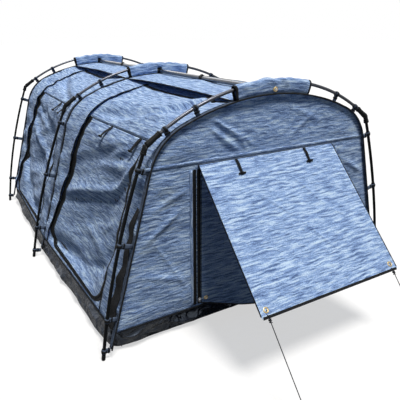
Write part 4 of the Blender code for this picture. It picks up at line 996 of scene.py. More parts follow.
def painted_shade_patch(hand, side):
    """A black sheet behind the front hoop's leg, wide at the tub and narrow at the shoulder: painted shade
    for the deep shadow there.
    """
    rows, uvs = [], []
    for up in spread(0.006, PATCH_TOP, 60)[::-side]:
        stations = spread(0.011, mix(0.085, 0.040, (up / PATCH_TOP) ** 0.8), 8)
        row, row_uvs = zip(*(strip_point(FRONT, side, False, share_at(up), across, PATCH_LIFT)
                             for across in stations))
        rows.append(row)
        uvs.append(row_uvs)
    # Painted shade: this black sheet darkens the strip where the pole leg's shadow falls.
    patch = piece(f"painted_shade_patch_{hand}", grid(rows, uvs), BLACK_TAPE, "shell")
    thicken(patch, PATCH_THICK)


for bay, bay_front in BAYS:
    for hand, side in HANDS:
        for end in ("front", "rear"):
            storm_strip(f"{bay}_bay_{end}_{hand}", bay_front, side, end == "rear")
for hand, side in HANDS:
    painted_shade_patch(hand, side)

# %% [markdown]
# ## End walls
# Each end of the body is an upright wall of the arch's outline. Its rows are level chords of the arch and its
# columns fan out with them, so the edge is exact and the door hole stays square. Shallow drag folds run from
# the upper corners, where the pole tabs pull the cloth.

# %% End walls
DOOR_HALF, DOOR_TOP, DOOR_SILL = 0.345, 0.745, 0.022
HOLE_HALF, HOLE_LOW, HOLE_TOP = DOOR_HALF - 0.016, TUB_TOP + DOOR_SILL, DOOR_TOP - 0.016
HINGE_Z = AWNING_AT.z
WALL_WIDE, CLOTH_THICK = 1.496, 0.0016
WALL_FOLDS = (
    # start and end as (x, z), height and width of each soft ridge on the front wall
    ((-0.290, 0.930), (-0.168, 0.848), 0.0050, 0.0075), ((-0.178, 0.856), (-0.112, 0.780), 0.0045, 0.0075),
    ((-0.310, 0.900), (-0.145, 0.772), 0.0055, 0.0085), ((-0.220, 0.890), (-0.055, 0.782), 0.0036, 0.0080),
    ((0.235, 0.912), (0.100, 0.812), 0.0036, 0.0080), ((-0.620, 0.460), (-0.430, 0.590), 0.0045, 0.0100),
    ((-0.620, 0.575), (-0.400, 0.668), 0.0034, 0.0100), ((-0.580, 0.490), (-0.375, 0.145), 0.0026, 0.0065),
    ((-0.660, 0.340), (-0.430, 0.270), 0.0032, 0.0120), ((0.650, 0.550), (0.440, 0.670), 0.0042, 0.0120),
    ((0.670, 0.360), (0.400, 0.280), 0.0034, 0.0120), ((0.080, 0.955), (0.300, 0.862), 0.0022, 0.0120),
)
REAR_FOLDS = (
    ((-0.60, 0.78), (-0.12, 0.52), 0.0080, 0.030), ((0.60, 0.76), (0.16, 0.50), 0.0080, 0.028),
    ((-0.66, 0.52), (-0.22, 0.30), 0.0070, 0.028), ((0.66, 0.50), (0.18, 0.27), 0.0075, 0.030),
    ((-0.40, 0.17), (0.34, 0.21), 0.0050, 0.026), ((-0.20, 0.97), (0.02, 0.80), 0.0045, 0.018),
    ((0.24, 0.95), (0.10, 0.82), 0.0040, 0.016), ((-0.68, 0.24), (-0.44, 0.16), 0.0050, 0.018),
)


def wall_relief(x, z, half, has_door=True):
    """How far a wall stands out: loose cloth with drag folds, held at its edge and round the door."""
    edge = smooth((half - abs(x)) / 0.08) * smooth((z - TUB_TOP) / 0.06)
    seed = 0.3 if has_door else 5.3
    loose = 0.0110 * noise.noise(Vector((x * 2.2, z * 4.5 + 0.4 * x, seed)))
    loose += 0.0055 * noise.noise(Vector((x * 5, z * 13 + 2 * x, seed + 4)))
    folds = 1.8 * sum(ridge(x, z, *fold) for fold in (WALL_FOLDS if has_door else REAR_FOLDS))
    calm = 1.0
    if has_door:
        near_hole = max(abs(x) - HOLE_HALF, HOLE_LOW - z, z - HOLE_TOP)
        calm = mix(0.05, 1.0, smooth((near_hole - 0.040) / 0.06))
        calm *= mix(0.25, 1.0, smooth(abs(z - HINGE_Z) / 0.06))
    return (0.0025 + loose + folds) * edge * calm


def wall_rows():
    """The heights of a wall's rows, with one at each level edge of the doorway."""
    low = [share_at(up) for up in spread(0, length_at(SIDE_SHARE), 80)]
    high = [share_at(up) for up in spread(length_at(SIDE_SHARE), UP_TOP - 0.02, 70)[1:]]
    heights = [END.at(share)[0].y for share in low + high] + [HOLE_LOW, HOLE_TOP]
    return sorted(set(round(height, 4) for height in heights))


def half_at(z):
    """Half the body's width at a height."""
    low, high = 0.0, 1.0
    for _ in range(30):
        middle = (low + high) / 2
        if END.at(middle)[0].y < z:
            low = middle
        else:
            high = middle
    return END.at(low)[0].x


def end_wall(name, y, way, has_door):
    rows, uvs = [], []
    for z in wall_rows():
        half = half_at(z)
        inner = min(HOLE_HALF, 0.55 * half)
        stations = spread(-half, -inner, 46) + spread(-inner, inner, 64)[1:] + spread(inner, half, 46)[1:]
        row = [Vector((x, y + way * wall_relief(x, z, half, has_door), z)) for x in stations]
        rows.append(row if way > 0 else row[::-1])
        uvs.append([(point.x + 2, z) for point in rows[-1]])

    def is_open(i, j):
        middle = (rows[i][j] + rows[i + 1][j + 1]) / 2
        return abs(middle.x) < HOLE_HALF and HOLE_LOW < middle.z < HOLE_TOP

    wall = piece(f"{name}_cloth", grid(rows, uvs, is_open if has_door else None), CANVAS, "shell", name)
    thicken(wall, CLOTH_THICK)
    area = sum((half_at(z) * 2) * 0.01 for z in spread(TUB_TOP, CROWN_TOP, 89)[:-1])
    area -= 2 * HOLE_HALF * (HOLE_TOP - HOLE_LOW) if has_door else 0
    print(name, "flat area", round(area, 3), "m2")


end_wall("front_wall", FRONT - WALL, -1, True)
end_wall("rear_wall", REAR + WALL, 1, False)

# %% [markdown]
# ## Wall tapes and door zips
# A seam crosses the front wall above the awning's hinge. Two rows of zip run down each side of the door: one
# for the awning and one for the inner door behind it. A narrow placket of canvas runs beside them.

# %% Tapes on the front wall
def wall_point(x, z, lift):
    return Vector((x, FRONT - WALL - wall_relief(x, z, half_at(z)) - lift, z))


def wall_tape(name, path, width, lift, finish_used, thickness=0.001):
    """A flat tape on the front wall through (x, z) points."""
    rows, uvs, length = [], [], 0.0
    for index, (x, z) in enumerate(path):
        before, after = path[max(index - 1, 0)], path[min(index + 1, len(path) - 1)]
        way = Vector((after[0] - before[0], after[1] - before[1])).normalized()
        if index:
            length += sqrt((x - path[index - 1][0]) ** 2 + (z - path[index - 1][1]) ** 2)
        row, row_uvs = [], []
        for across in (-width / 2, 0, width / 2):
            row.append(wall_point(x - way.y * across, z + way.x * across, lift))
            row_uvs.append((length, across))
        rows.append(row)
        uvs.append(row_uvs)
    thicken(piece(name, grid(rows, uvs), finish_used, "shell"), thickness, 0)


SEAM_PATH = [(x, HINGE_Z + 0.0115) for x in spread(-0.585, 0.585, 60)]
wall_tape("wall_seam", SEAM_PATH, 0.013, 0.0012, CANVAS, 0.0018)
seam_rows = []
for up in (-0.0035, 0.0035):
    seam_rows.append([Vector((x, FRONT - WALL - wall_relief(x, z + up, half_at(z)) - 0.0024, z + up))
                      for x, z in SEAM_PATH])
stitches("wall_seam_stitches", seam_rows)


def door_zip(hand, side):
    """The zips of the awning and of the door down one side, and the placket outside them."""
    heights = spread(DOOR_TOP - 0.006, TUB_TOP + 0.012, 50)
    outer, inner, placket = ([(side * (DOOR_HALF + out), z) for z in heights]
                             for out in (0.033, 0.012, 0.048))
    wall_tape(f"awning_zip_tape_{hand}", outer, 0.017, 0.0010, BLACK_ZIP)
    wall_tape(f"door_zip_tape_{hand}", inner, 0.018, 0.0010, BLACK_ZIP)
    teeth = [[wall_point(x, z, 0.0020) for x, z in path] for path in (outer, inner)]
    zip_teeth(f"door_zip_teeth_{hand}", teeth)
    wall_tape(f"zip_placket_{hand}", placket, 0.014, 0.0016, CANVAS)
    hem = [wall_point(x, z, 0.0026) + Vector((side * 0.004, 0, 0)) for x, z in placket]
    stitches(f"zip_placket_stitches_{hand}", [hem])


for hand, side in HANDS:
    door_zip(hand, side)

# %% [markdown]
# ## Inner door
# The door hangs behind the awning. It is unzipped at the foot, so its hem is slack: it drops below the sill
# and comes forward. A dark tape binds its three edges, and a brass eyelet sits in its lower left corner.
# A cloth simulation could drape it, but a formula puts the hem just where it is seen.

# %% Inner door
DOOR_WIDE = DOOR_HALF + 0.005
DOOR_STRAIGHT, DOOR_SLACK, DOOR_BELLY = DOOR_TOP - TUB_TOP - DOOR_SILL / 2, 0.070, 0.050


def door_point(across, down, lift=0.0):
    """A point of the door, from -1 to 1 across and from 0 to 1 down: its hem droops and comes forward."""
    droop = max(0.0, cos(clamp(across, -1, 1) * pi / 2)) ** 1.2
    length = DOOR_STRAIGHT + DOOR_SLACK * droop
    held = smooth((1 - abs(across)) / 0.12) * smooth(down / 0.08)
    crease = 0.004 * noise.noise(Vector((across * 2.4, down * 9 + across, 2.2))) * held
    crease += 0.0016 * noise.noise(Vector((across * 8, down * 24, 6.2))) * held
    forward = DOOR_BELLY * droop * down**2 + max(-0.002, crease) * held + lift
    return Vector((across * DOOR_WIDE, FRONT - WALL - SEAT - 0.0022 - forward, DOOR_TOP - length * down))


door_rows = [[door_point(across, down) for across in spread(-1, 1, 60)] for down in spread(0.004, 1, 52)]
door_uvs = [[(point.x + 2, point.z) for point in row] for row in door_rows]
door = piece("inner_door_cloth", grid(door_rows, door_uvs), CANVAS, "inner_door", "inner_door")
thicken(door, CLOTH_THICK)
edge_way = [(-1, down) for down in spread(0.05, 1, 40)] + [(across, 1) for across in spread(-1, 1, 50)[1:-1]]
edge_way += [(1, down) for down in spread(1, 0.05, 40)]
door_edge = [door_point(across * 0.992, down * 0.996, -0.0002) for across, down in edge_way]
door_tape = piece("door_edge_tape", sweep(door_edge, 0.0052, 10, 0.26), BLACK_TAPE, "inner_door")
hem = [door_point(across * 0.97, 0.975, 0.0012) for across in spread(-1, 1, 50)]
stitches("door_stitches", [hem], "inner_door")

# Shares of an eyelet's radius and of its half thickness: a rolled rim round an open barrel
EYELET_SHARES = ((0.46, -1), (0.46, 0.8), (0.62, 1.5), (0.84, 1.35), (1, 0.6), (0.98, 0.4), (0.60, 0.45),
                 (0.59, -0.45), (0.98, -0.4), (1, -0.6), (0.84, -1.2), (0.6, -1.3))
EYELET_FACE = 0.0022


def flat_eyelet(name, place, body, radius, *replaced):
    """A brass eyelet whose axis is the place's Z."""
    profile = [(radius * out, EYELET_FACE * up) for out, up in EYELET_SHARES]
    piece(name, lathe(profile, place, 36), BRASS, body, *replaced)


flat_eyelet("door_eyelet", on_axis(door_point(-0.93, 0.955), 90), "inner_door", 0.010)

# %% [markdown]
# ## Awning
# The awning is the door's outer cover, propped out by its guy ropes. It hangs from a piped seam and is held
# at its two lower corners, so it sinks slightly between them. Faint creases remain from packing it away. It
# is nearly flat, so one relief over a plain grid is enough.

# %% Awning sheet
AWNING_CORNER, AWNING_TRIM, AWNING_HEM = 0.012, 0.0030, (0.0056, 0.0040)
CREASES = (
    # start and end as (x, up from the hinge), height and width
    ((-0.16, -0.16), (-0.02, -0.30), 0.0060, 0.0052), ((-0.02, -0.30), (0.10, -0.47), 0.0056, 0.0052),
    ((0.04, -0.10), (0.17, -0.30), 0.0052, 0.0050), ((0.17, -0.30), (0.24, -0.36), 0.0044, 0.0050),
    ((-0.25, -0.52), (-0.02, -0.62), 0.0026, 0.0045), ((0.20, -0.06), (0.27, -0.20), 0.0018, 0.0035),
    ((-0.30, -0.30), (-0.18, -0.42), 0.0018, 0.0040),
)


def awning_relief(x, down):
    """Outward rise of the awning: it sinks in the middle, and has slow waves and the packing creases."""
    across = x / AWNING_HALF
    part = down / AWNING_LENGTH
    held = smooth((1 - abs(across)) / 0.10) * smooth(part / 0.10) * smooth((1.0 - part) / 0.06)
    sink = -0.003 * (1 - across**2) * sin(pi * part)
    waves = 0.0030 * noise.noise(Vector((x * 3.5, down * 9, 7.7)))
    waves += 0.0014 * noise.noise(Vector((x * 9, down * 30, 1.1)))
    creases = sum(ridge(x, -down, *crease) for crease in CREASES)
    return (sink + waves + creases) * held


def awning_point(x, down, lift=0.0):
    return AWNING_PLACE @ Vector((x, -awning_relief(x, down) - lift, -down))


def awning_grid():
    """Rows down the awning, closer together at its two rounded lower corners."""
    rows, uvs = [], []
    straight = AWNING_LENGTH - AWNING_CORNER
    rounded = [straight + AWNING_CORNER * sin(k * pi / 12) for k in range(1, 7)]
    for down in spread(0.0015, straight, 118) + rounded:
        inside = max(0.0, down - straight)
        half = AWNING_HALF - AWNING_CORNER + sqrt(max(0.0, AWNING_CORNER**2 - inside**2))
        stations = spread(-half, half, 140)
        rows.append([awning_point(x, down, 0.0010) for x in stations])
        uvs.append([(x + 2.3, -down) for x in stations])
    return grid(rows, uvs)


awning = piece("awning_cloth", awning_grid(), CANVAS, "awning", "awning")
thicken(awning, CLOTH_THICK)
for hand, side in HANDS:
    line = [awning_point(side * (AWNING_HALF - 0.0006), down, 0.0002)
            for down in spread(0.002, AWNING_LENGTH - AWNING_CORNER, 60)]
    piece(f"awning_edge_{hand}", sweep(line, AWNING_TRIM, 8, 0.8), BLACK_TAPE, "awning")
hem_half = AWNING_HALF - 0.006
hem_line = [awning_point(x, AWNING_LENGTH - 0.0045) for x in spread(-hem_half, hem_half, 80)]

# %% Straps and the awning's hem
STRAP_SIDES = 14


def strap_sweep(path, half_width, thickness, side_way):
    """A flat strap: a rounded band whose width lies along a given direction."""
    rows, count = [], len(path)
    turns = [2 * pi * k / STRAP_SIDES for k in range(STRAP_SIDES)]
    made = bmesh.new()
    layer = made.loops.layers.uv.new("weave")
    lengths = [0.0]
    for index in range(1, count):
        lengths.append(lengths[-1] + (path[index] - path[index - 1]).length)
    for index, point in enumerate(path):
        way = (path[min(index + 1, count - 1)] - path[max(index - 1, 0)]).normalized()
        side = (side_way - way * side_way.dot(way)).normalized()
        up = way.cross(side)
        ring = []
        for turn in turns:
            flat = abs(cos(turn)) ** 0.35 * (1 if cos(turn) > 0 else -1)
            thick = abs(sin(turn)) ** 0.35 * (1 if sin(turn) > 0 else -1)
            ring.append(made.verts.new(point + side * flat * half_width + up * thick * thickness / 2))
        rows.append(ring)
    for index in range(count - 1):
        for k in range(STRAP_SIDES):
            after = (k + 1) % STRAP_SIDES
            corners = ((index, k), (index, after), (index + 1, after), (index + 1, k))
            face = made.faces.new([rows[a][b] for a, b in corners])
            for loop, (a, b) in zip(face.loops, corners):
                loop[layer].uv = (lengths[a], half_width * cos(turns[b]))
    made.faces.new(rows[0][::-1])
    made.faces.new(rows[-1])
    bmesh.ops.recalc_face_normals(made, faces=made.faces)
    return finished(made, "strap")


DOWN_AWNING = AWNING_PLACE.to_3x3() @ Vector((0, 0, -1))
piece("awning_hem", strap_sweep(hem_line, *AWNING_HEM, DOWN_AWNING), BLACK_TAPE, "awning")
piping = [AWNING_PLACE @ Vector((x, 0, 0)) for x in spread(-AWNING_HALF, AWNING_HALF, 40)]
piece("awning_piping", sweep(piping, AWNING_TRIM, 12), SLATE_TAPE, "awning")
hems = [[awning_point(side * (AWNING_HALF - 0.016), down, 0.0012) for down in spread(0.02, 0.61, 60)]
        for side in (-1, 1)]
hems += [[awning_point(x, down, 0.0012) for x in spread(-0.34, 0.34, 60)]
         for down in (0.008, AWNING_LENGTH - 0.018)]
stitches("awning_stitches", hems, "awning")


def guy_loop(hand, side):
    """The cord's loop through an eyelet, wound down to the knot below the hem."""
    path = []
    for k in range(17):
        turn, down = k * pi / 5, mix(EYELET_DOWN, AWNING_LENGTH + KNOT_HALF, k / 16)
        path.append(AWNING_PLACE @ Vector((side * EYELET_X + 0.004 * sin(turn), -0.0035 * cos(turn), -down)))
    piece(f"guy_loop_{hand}", sweep(path, 0.0018, 8), CORD, "awning")


for hand, side in HANDS:
    place = on_axis(awning_point(side * EYELET_X, EYELET_DOWN, -0.0004), 90 + AWNING_TILT)
    flat_eyelet(f"awning_ring_{hand}", place, "awning", 0.0125, f"awning_eyelet_{hand}")
    guy_loop(hand, side)
print("awning", round(2 * AWNING_HALF, 3), "x", round(AWNING_LENGTH, 3), "m")

# %% [markdown]
# ## Toggles
# Rolled-up cloth is tied with webbing toggles: a strap sewn into the seam, looped round a cross bar. Two hang
# on the awning and two on each side flap. The strap is swept, the bar is turned from a profile like work on
# a lathe, and the band round the bar is a closed ring, so each keeps its own finish.

# %% Toggles
BAR_LENGTH, BAR_RADIUS = 0.036, 0.0042
STRAP_HALF, STRAP_THICK, WIDE_STRAP_HALF = 0.0062, 0.0022, 0.0095
LOOP_RADIUS, LOOP_THICK = 0.0046, 0.0014


def bar_mesh(middle, way):
    """A cross bar with rounded ends and a waist for the strap."""
    half, end = BAR_LENGTH / 2, BAR_RADIUS
    upper = [(end * 0.72, 0.22 * BAR_LENGTH), (end, 0.30 * BAR_LENGTH), (end, half - end * 0.8),
             (end * 0.7, half - end * 0.15), (0.0002, half)]
    return lathe([(out, -up) for out, up in upper[::-1]] + upper, facing(middle, way), 16)


def strap_band(ring, across, half_width, thickness):
    """A closed band of webbing round a bar."""
    made = bmesh.new()
    layer = made.loops.layers.uv.new("weave")
    centre = sum(ring, Vector()) / len(ring)
    reach = across * half_width
    lanes = []
    for point in ring:
        outer = point + (point - centre).normalized() * thickness
        corners = (point - reach, point + reach, outer + reach, outer - reach)
        lanes.append([made.verts.new(corner) for corner in corners])
    band_faces(made, lanes + lanes[:1])
    for face in made.faces:
        for loop in face.loops:
            loop[layer].uv = (loop.vert.co - centre).xz
    bmesh.ops.recalc_face_normals(made, faces=made.faces)
    return finished(made, "band")


def toggle(name, path, bar_at, across, body, half=STRAP_HALF):
    """A strap along a path with a cross bar at its end and a band round the bar."""
    piece(f"{name}_web_strap", strap_sweep(path, half, STRAP_THICK, across), BLACK_TAPE, body, name)
    piece(f"{name}_web_bar", bar_mesh(bar_at, across), MOULDED, body, name)
    turn = across.cross((path[-1] - path[-2]).normalized()).normalized()
    way = turn.cross(across).normalized()
    turns = (2 * pi * k / 18 for k in range(18))
    loop = [bar_at + (way * sin(t) + turn * cos(t)) * LOOP_RADIUS for t in turns]
    piece(f"{name}_web_loop", strap_band(loop, across, STRAP_HALF, LOOP_THICK), BLACK_TAPE, body)


for hand, side in HANDS:
    x = side * 0.184
    path = [awning_point(x, mix(0.004, 0.066, part), 0.0036 + 0.0035 * sin(pi * part))
            for part in spread(0, 1, 12)]
    toggle(f"awning_toggle_{hand}", path, awning_point(x, 0.070, 0.0062), Vector((1, 0, 0)), "awning")

# Where the flaps' toggles hang behind their bay's front hoop, how far they trail back and stand off the flap
TOGGLE_PLACES = {"front": (0.212, 0.540), "rear": (0.210, 0.335)}
TRAIL, STAND = 0.028, 0.012


def flap_toggle(name, side, y, body):
    path = [canvas_point(side, share_at(UP_SEAM - mix(0.003, 0.072, part)), y + TRAIL * part,
                         0.0030 + 0.003 * sin(pi * part) + STAND * part**2) for part in spread(0, 1, 12)]
    bar_at = canvas_point(side, share_at(UP_SEAM - 0.076), y + TRAIL, 0.0062 + STAND)
    near, far = (canvas_point(side, share_at(UP_SEAM - 0.07), y + TRAIL + along) for along in (-0.02, 0.02))
    toggle(name, path, bar_at, (far - near).normalized(), body, WIDE_STRAP_HALF)


for bay, bay_front in BAYS:
    for hand, side in HANDS:
        for label, from_hoop in zip("ab", TOGGLE_PLACES[bay]):
            name = f"flap_toggle_{bay}_{hand}_{label}"
            flap_toggle(name, side, bay_front + from_hoop, f"flap_{bay}_{hand}")

# %% [markdown]
# ## Hoops
# Each hoop is one crown tube, two moulded elbows and two bowed legs. The tubes are swept along the same arcs
# as the model in model.glb, with many more steps, so they look smooth from close by.

# %% Hoop paths
POLE, HOOP_TOP, HOOP_RADIUS, MOUTH_HALF, SOCKET = 0.007, 1.055, 0.948, 0.520, 0.034
FOOT_HALF, MIDDLE_SPREAD, LEG_BOW = 0.806, 0.046, 0.026
ELBOW_RADIUS = 0.0125
MOUTH_TURN = asin(MOUTH_HALF / HOOP_RADIUS)
CROWN_END = MOUTH_TURN + SOCKET / HOOP_RADIUS
LEG_TOP = Vector((MOUTH_HALF + 0.071, HOOP_TOP - HOOP_RADIUS * (1 - cos(MOUTH_TURN)) - 0.0696))
HOOPS = (("front", FRONT), ("middle", 0.0), ("rear", REAR))


def crown_point(turn, y):
    return Vector((HOOP_RADIUS * sin(turn), y, HOOP_TOP - HOOP_RADIUS + HOOP_RADIUS * cos(turn)))


class Leg:
    """A leg's arc from the ground to its elbow."""

    def __init__(self, y):
        foot = Vector((FOOT_HALF + (MIDDLE_SPREAD if y == 0 else 0), 0))
        chord = (LEG_TOP - foot).length / 2
        self.y, self.radius = y, (chord**2 + LEG_BOW**2) / (2 * LEG_BOW)
        along = (LEG_TOP - foot).normalized()
        self.centre = (foot + LEG_TOP) / 2 - Vector((along.y, -along.x)) * (self.radius - LEG_BOW)
        arms = (foot - self.centre, LEG_TOP - self.centre)
        self.low, self.high = (atan2(arm.y, arm.x) for arm in arms)
        self.start = self.low + (POLE * sin(abs(self.low)) + 0.0003) / self.radius
        self.end = self.high + SOCKET / self.radius

    def point(self, turn, side=1):
        out, up = self.radius * cos(turn), self.radius * sin(turn)
        return Vector((side * (self.centre.x + out), self.y, self.centre.y + up))


def foot_cap(foot, way):
    """A rounded plastic cap over a leg's end."""
    profile = [(0.0002, -0.001), (POLE * 0.8, -0.001), (POLE * 1.16, 0.002), (POLE * 1.18, 0.022),
               (POLE * 1.02, 0.024), (POLE * 0.9, 0.0235), (0.0002, 0.0230)]
    return lathe(profile, facing(foot, way), 24)


def hoop(place, y):
    """A crown tube, two legs with their feet's caps and two elbows."""
    crown = [crown_point(turn, y) for turn in spread(-CROWN_END, CROWN_END, 72)]
    piece(f"crown_tube_{place}", sweep(crown, POLE, 20), ALLOY, "shell", f"crown_pole_{place}")
    leg = Leg(y)
    for hand, side in HANDS:
        path = [leg.point(turn, side) for turn in spread(leg.start + 0.0004, leg.end, 36)]
        tube = sweep(path, POLE, 20)
        piece(f"leg_tube_{place}_{hand}", tube, SHADED_LEG_FINISH, "shell", f"leg_pole_{place}_{hand}")
        cap = foot_cap(path[0] + Vector((0, 0, 0.0004)), path[1] - path[0])
        piece(f"foot_cap_{place}_{hand}", cap, MOULDED, "shell")
        elbow(place, y, hand, side, leg)


MOUTH_PROFILE = ((0.0074, -0.0012), (0.0116, -0.0012), (0.0124, 0.0004), (0.0124, 0.0048), (0.0108, 0.0062),
                 (0.0108, 0.0080), (0.0118, 0.0092), (0.0118, 0.0118), (0.0074, 0.0130))


def elbow(place, y, hand, side, leg):
    """A swollen moulding with a ribbed mouth at each end; it bends round the corner where its arms meet."""
    half_way = MOUTH_TURN + 0.5 * SOCKET / HOOP_RADIUS
    crown_arm = [crown_point(side * turn, y) for turn in (MOUTH_TURN, half_way, CROWN_END)]
    leg_arm = [leg.point(turn, side) for turn in (leg.end, mix(leg.high, leg.end, 0.5), leg.high)]
    crown_way = Vector((side * cos(CROWN_END), 0, -sin(CROWN_END)))
    leg_way = (leg_arm[1] - leg_arm[0]).normalized()
    gap = leg_arm[0] - crown_arm[-1]
    reach = (gap.x * leg_way.z - gap.z * leg_way.x) / (crown_way.x * leg_way.z - crown_way.z * leg_way.x)
    corner = crown_arm[-1] + crown_way * reach
    bend = [crown_arm[-1].lerp(corner, s).lerp(corner.lerp(leg_arm[0], s), s) for s in spread(0, 1, 14)[1:-1]]
    path = crown_arm + bend + leg_arm
    half = (len(path) - 1) / 2
    radii = [ELBOW_RADIUS * mix(1, 0.82, (abs(k - half) / half) ** 1.5) for k in range(len(path))]
    parts = [sweep(path, radii, 24)]
    for at, after in (path[:2], path[:-3:-1]):
        parts.append(lathe(MOUTH_PROFILE, facing(at, after - at), 28))
    piece(f"elbow_moulding_{place}_{hand}", join(parts), MOULDED, "shell", f"elbow_{place}_{hand}")


for place, y in HOOPS:
    hoop(place, y)
print("hoops:", len(HOOPS), "leg top", round(LEG_TOP.x, 4), round(LEG_TOP.y, 4))

# %% [markdown]
# ## Ridge poles and their fittings
# Two stout tubes run under the crowns from hoop to hoop. Each ends in a dark socket that hangs from a collar
# on the hoop. Most of this is round, so it is turned from profiles that hold the grooves too.

# %% Ridge
RIDGE_Z, RIDGE, RIDGE_GAP = HOOP_TOP - 0.033, 0.011, 0.0043
SOCKET_REACH, BLIND_REACH = 0.035, 0.008
COLLAR_HALF = 0.014
COLLAR_PROFILE = ((0.0074, 0.0), (0.0110, 0.0), (0.0118, 0.001), (0.0118, 0.027), (0.0110, 0.028),
                  (0.0074, 0.028))
# From each hoop, the ways in which a ridge pole runs: -1 forwards, 1 backwards
RIDGE_WAYS = ((1,), (-1, 1), (-1,))


def mirrored(profile, length):
    """A profile from its start to its middle, and the same backwards from there to its end."""
    return [*profile, *((out, length - up) for out, up in profile[::-1])]


def ridge_pole(bay, start):
    """A tube with three shallow grooves, where its sections meet."""
    length = BAY - 2 * RIDGE_GAP
    profile = [(0.0002, 0.0), (RIDGE * 0.9, 0.0), (RIDGE, 0.0012)]
    for at in (0.046, 0.5 * length, length - 0.060):
        profile += [(RIDGE, at), (RIDGE * 0.985, at + 0.001), (RIDGE * 0.985, at + 0.003),
                    (RIDGE, at + 0.004)]
    profile += [(RIDGE, length - 0.0012), (RIDGE * 0.9, length), (0.0002, length)]
    tube = lathe(profile, on_axis((0, start + RIDGE_GAP, RIDGE_Z), -90), 32)
    piece(f"ridge_tube_{bay}", tube, RIDGE_ALLOY, "shell", f"ridge_pole_{bay}")


def ridge_fitting(place, y, ways):
    """A socket for the ridge poles, a collar round the crown and a web between them."""
    low, high = (y + way * (SOCKET_REACH if way in ways else BLIND_REACH) for way in (-1, 1))
    profile = mirrored(((0.0115, 0.0), (0.0134, 0.0), (0.0140, 0.0012), (0.0140, 0.006), (0.0128, 0.0075)),
                       high - low)
    socket = lathe(profile, on_axis((0, low, RIDGE_Z), -90), 32)
    collar = lathe(COLLAR_PROFILE, on_axis((-COLLAR_HALF, y, HOOP_TOP), 90, "Y"), 28)
    web = block((-0.007, y - 0.007, RIDGE_Z + 0.010), (0.007, y + 0.007, HOOP_TOP - 0.0085), bevel=0.0015)
    piece(f"ridge_fitting_{place}", join([socket, collar, web]), MOULDED, "shell", f"ridge_hub_{place}")


for bay, bay_front in BAYS:
    ridge_pole(bay, bay_front)
for (place, y), ways in zip(HOOPS, RIDGE_WAYS):
    ridge_fitting(place, y, ways)

# %% [markdown]
# ## Arch bindings and pole tabs
# A webbing binding covers the seam at each hoop, with black piping along its front edge and a thin slate one
# along its rear edge. Five webbing tabs a side and one at each foot wrap the pole. Each tab is one band: up
# from the binding, round the tube and down again.

# %% Bindings
BINDING_STATIONS = (-0.0125, -0.006, 0.0, 0.006, 0.0125)
BINDING_RISE, BINDING_TAIL, BINDING_THICK = 0.0036, 0.072, 0.0028


def binding(place, y):
    """A band over the whole arch, with a tail that runs down over the tub on either side."""
    arch = Arch(y)
    tail = [(-1, arch.foot - arch.up_side * down + arch.out_side * BINDING_RISE, -down)
            for down in spread(BINDING_TAIL, 0.0, 6)[:-1]]
    lanes = list(tail)
    ups = spread(0.0, UP_TOP, 90)
    for side, share in [(-1, share_at(up)) for up in ups] + [(1, share_at(up)) for up in ups[-2::-1]]:
        spot, normal = arch.at(share)
        rise_up = BINDING_RISE + 0.0006 * noise.noise(Vector((share * 30, side, y)))
        length = length_at(share)
        lanes.append((side, spot + normal * rise_up, length if side < 0 else 2 * UP_TOP - length))
    lanes += [(1, spot, 2 * UP_TOP - up) for _, spot, up in tail[::-1]]
    rows = [[Vector((side * spot.x, y + across, spot.y)) for across in BINDING_STATIONS]
            for side, spot, up in lanes]
    uvs = [[(up, across) for across in BINDING_STATIONS] for side, spot, up in lanes]
    web = piece(f"arch_binding_{place}_web", grid(rows, uvs), SLATE_TAPE, "shell", f"arch_binding_{place}")
    thicken(web, BINDING_THICK)
    for label, column, radius, tape in (("front", 0, 0.0034, BLACK_TAPE), ("rear", -1, 0.0020, SLATE_TAPE)):
        edge = [row[column] for row in rows]
        piece(f"binding_piping_{place}_{label}", sweep(edge, radius, 8), tape, "shell")


def cloth_reach(point, inward, y):
    """Distance from the pole to the binding along a line in the hoop's plane."""
    arch, best = Arch(y), None
    for low, high in zip(spread(0, 1, 120), spread(0, 1, 120)[1:]):
        a, b = (arch.at(share)[0] - Vector((abs(point.x), point.z)) for share in (low, high))
        miss_a, miss_b = a.x * inward.y - a.y * inward.x, b.x * inward.y - b.y * inward.x
        if miss_a * miss_b <= 0:
            reach = a.lerp(b, miss_a / (miss_a - miss_b)).dot(inward)
            best = reach if best is None or 0 < reach < best else best
    if best is None or point.z < TUB_TOP:
        offset = arch.foot - Vector((abs(point.x), point.z))
        best = offset.dot(arch.out_side) / inward.dot(arch.out_side)
    return best


TAB_RING, TAB_THICK, TAB_STATIONS = 0.0092, 0.0014, (-0.010, -0.004, 0.004, 0.010)
CLIP_PROFILE = ((0.0072, -0.0045), (0.0090, -0.0055), (0.0112, -0.0045), (0.0118, 0.0), (0.0112, 0.0045),
                (0.0090, 0.0055), (0.0072, 0.0045))
# Where the tabs wrap the crown, as shares of the elbow's distance, and the legs, as shares of their height
CROWN_TABS, LEG_TABS, FOOT_TAB = (0.7115, 0.9615), (0.928, 0.587, 0.217), 0.042


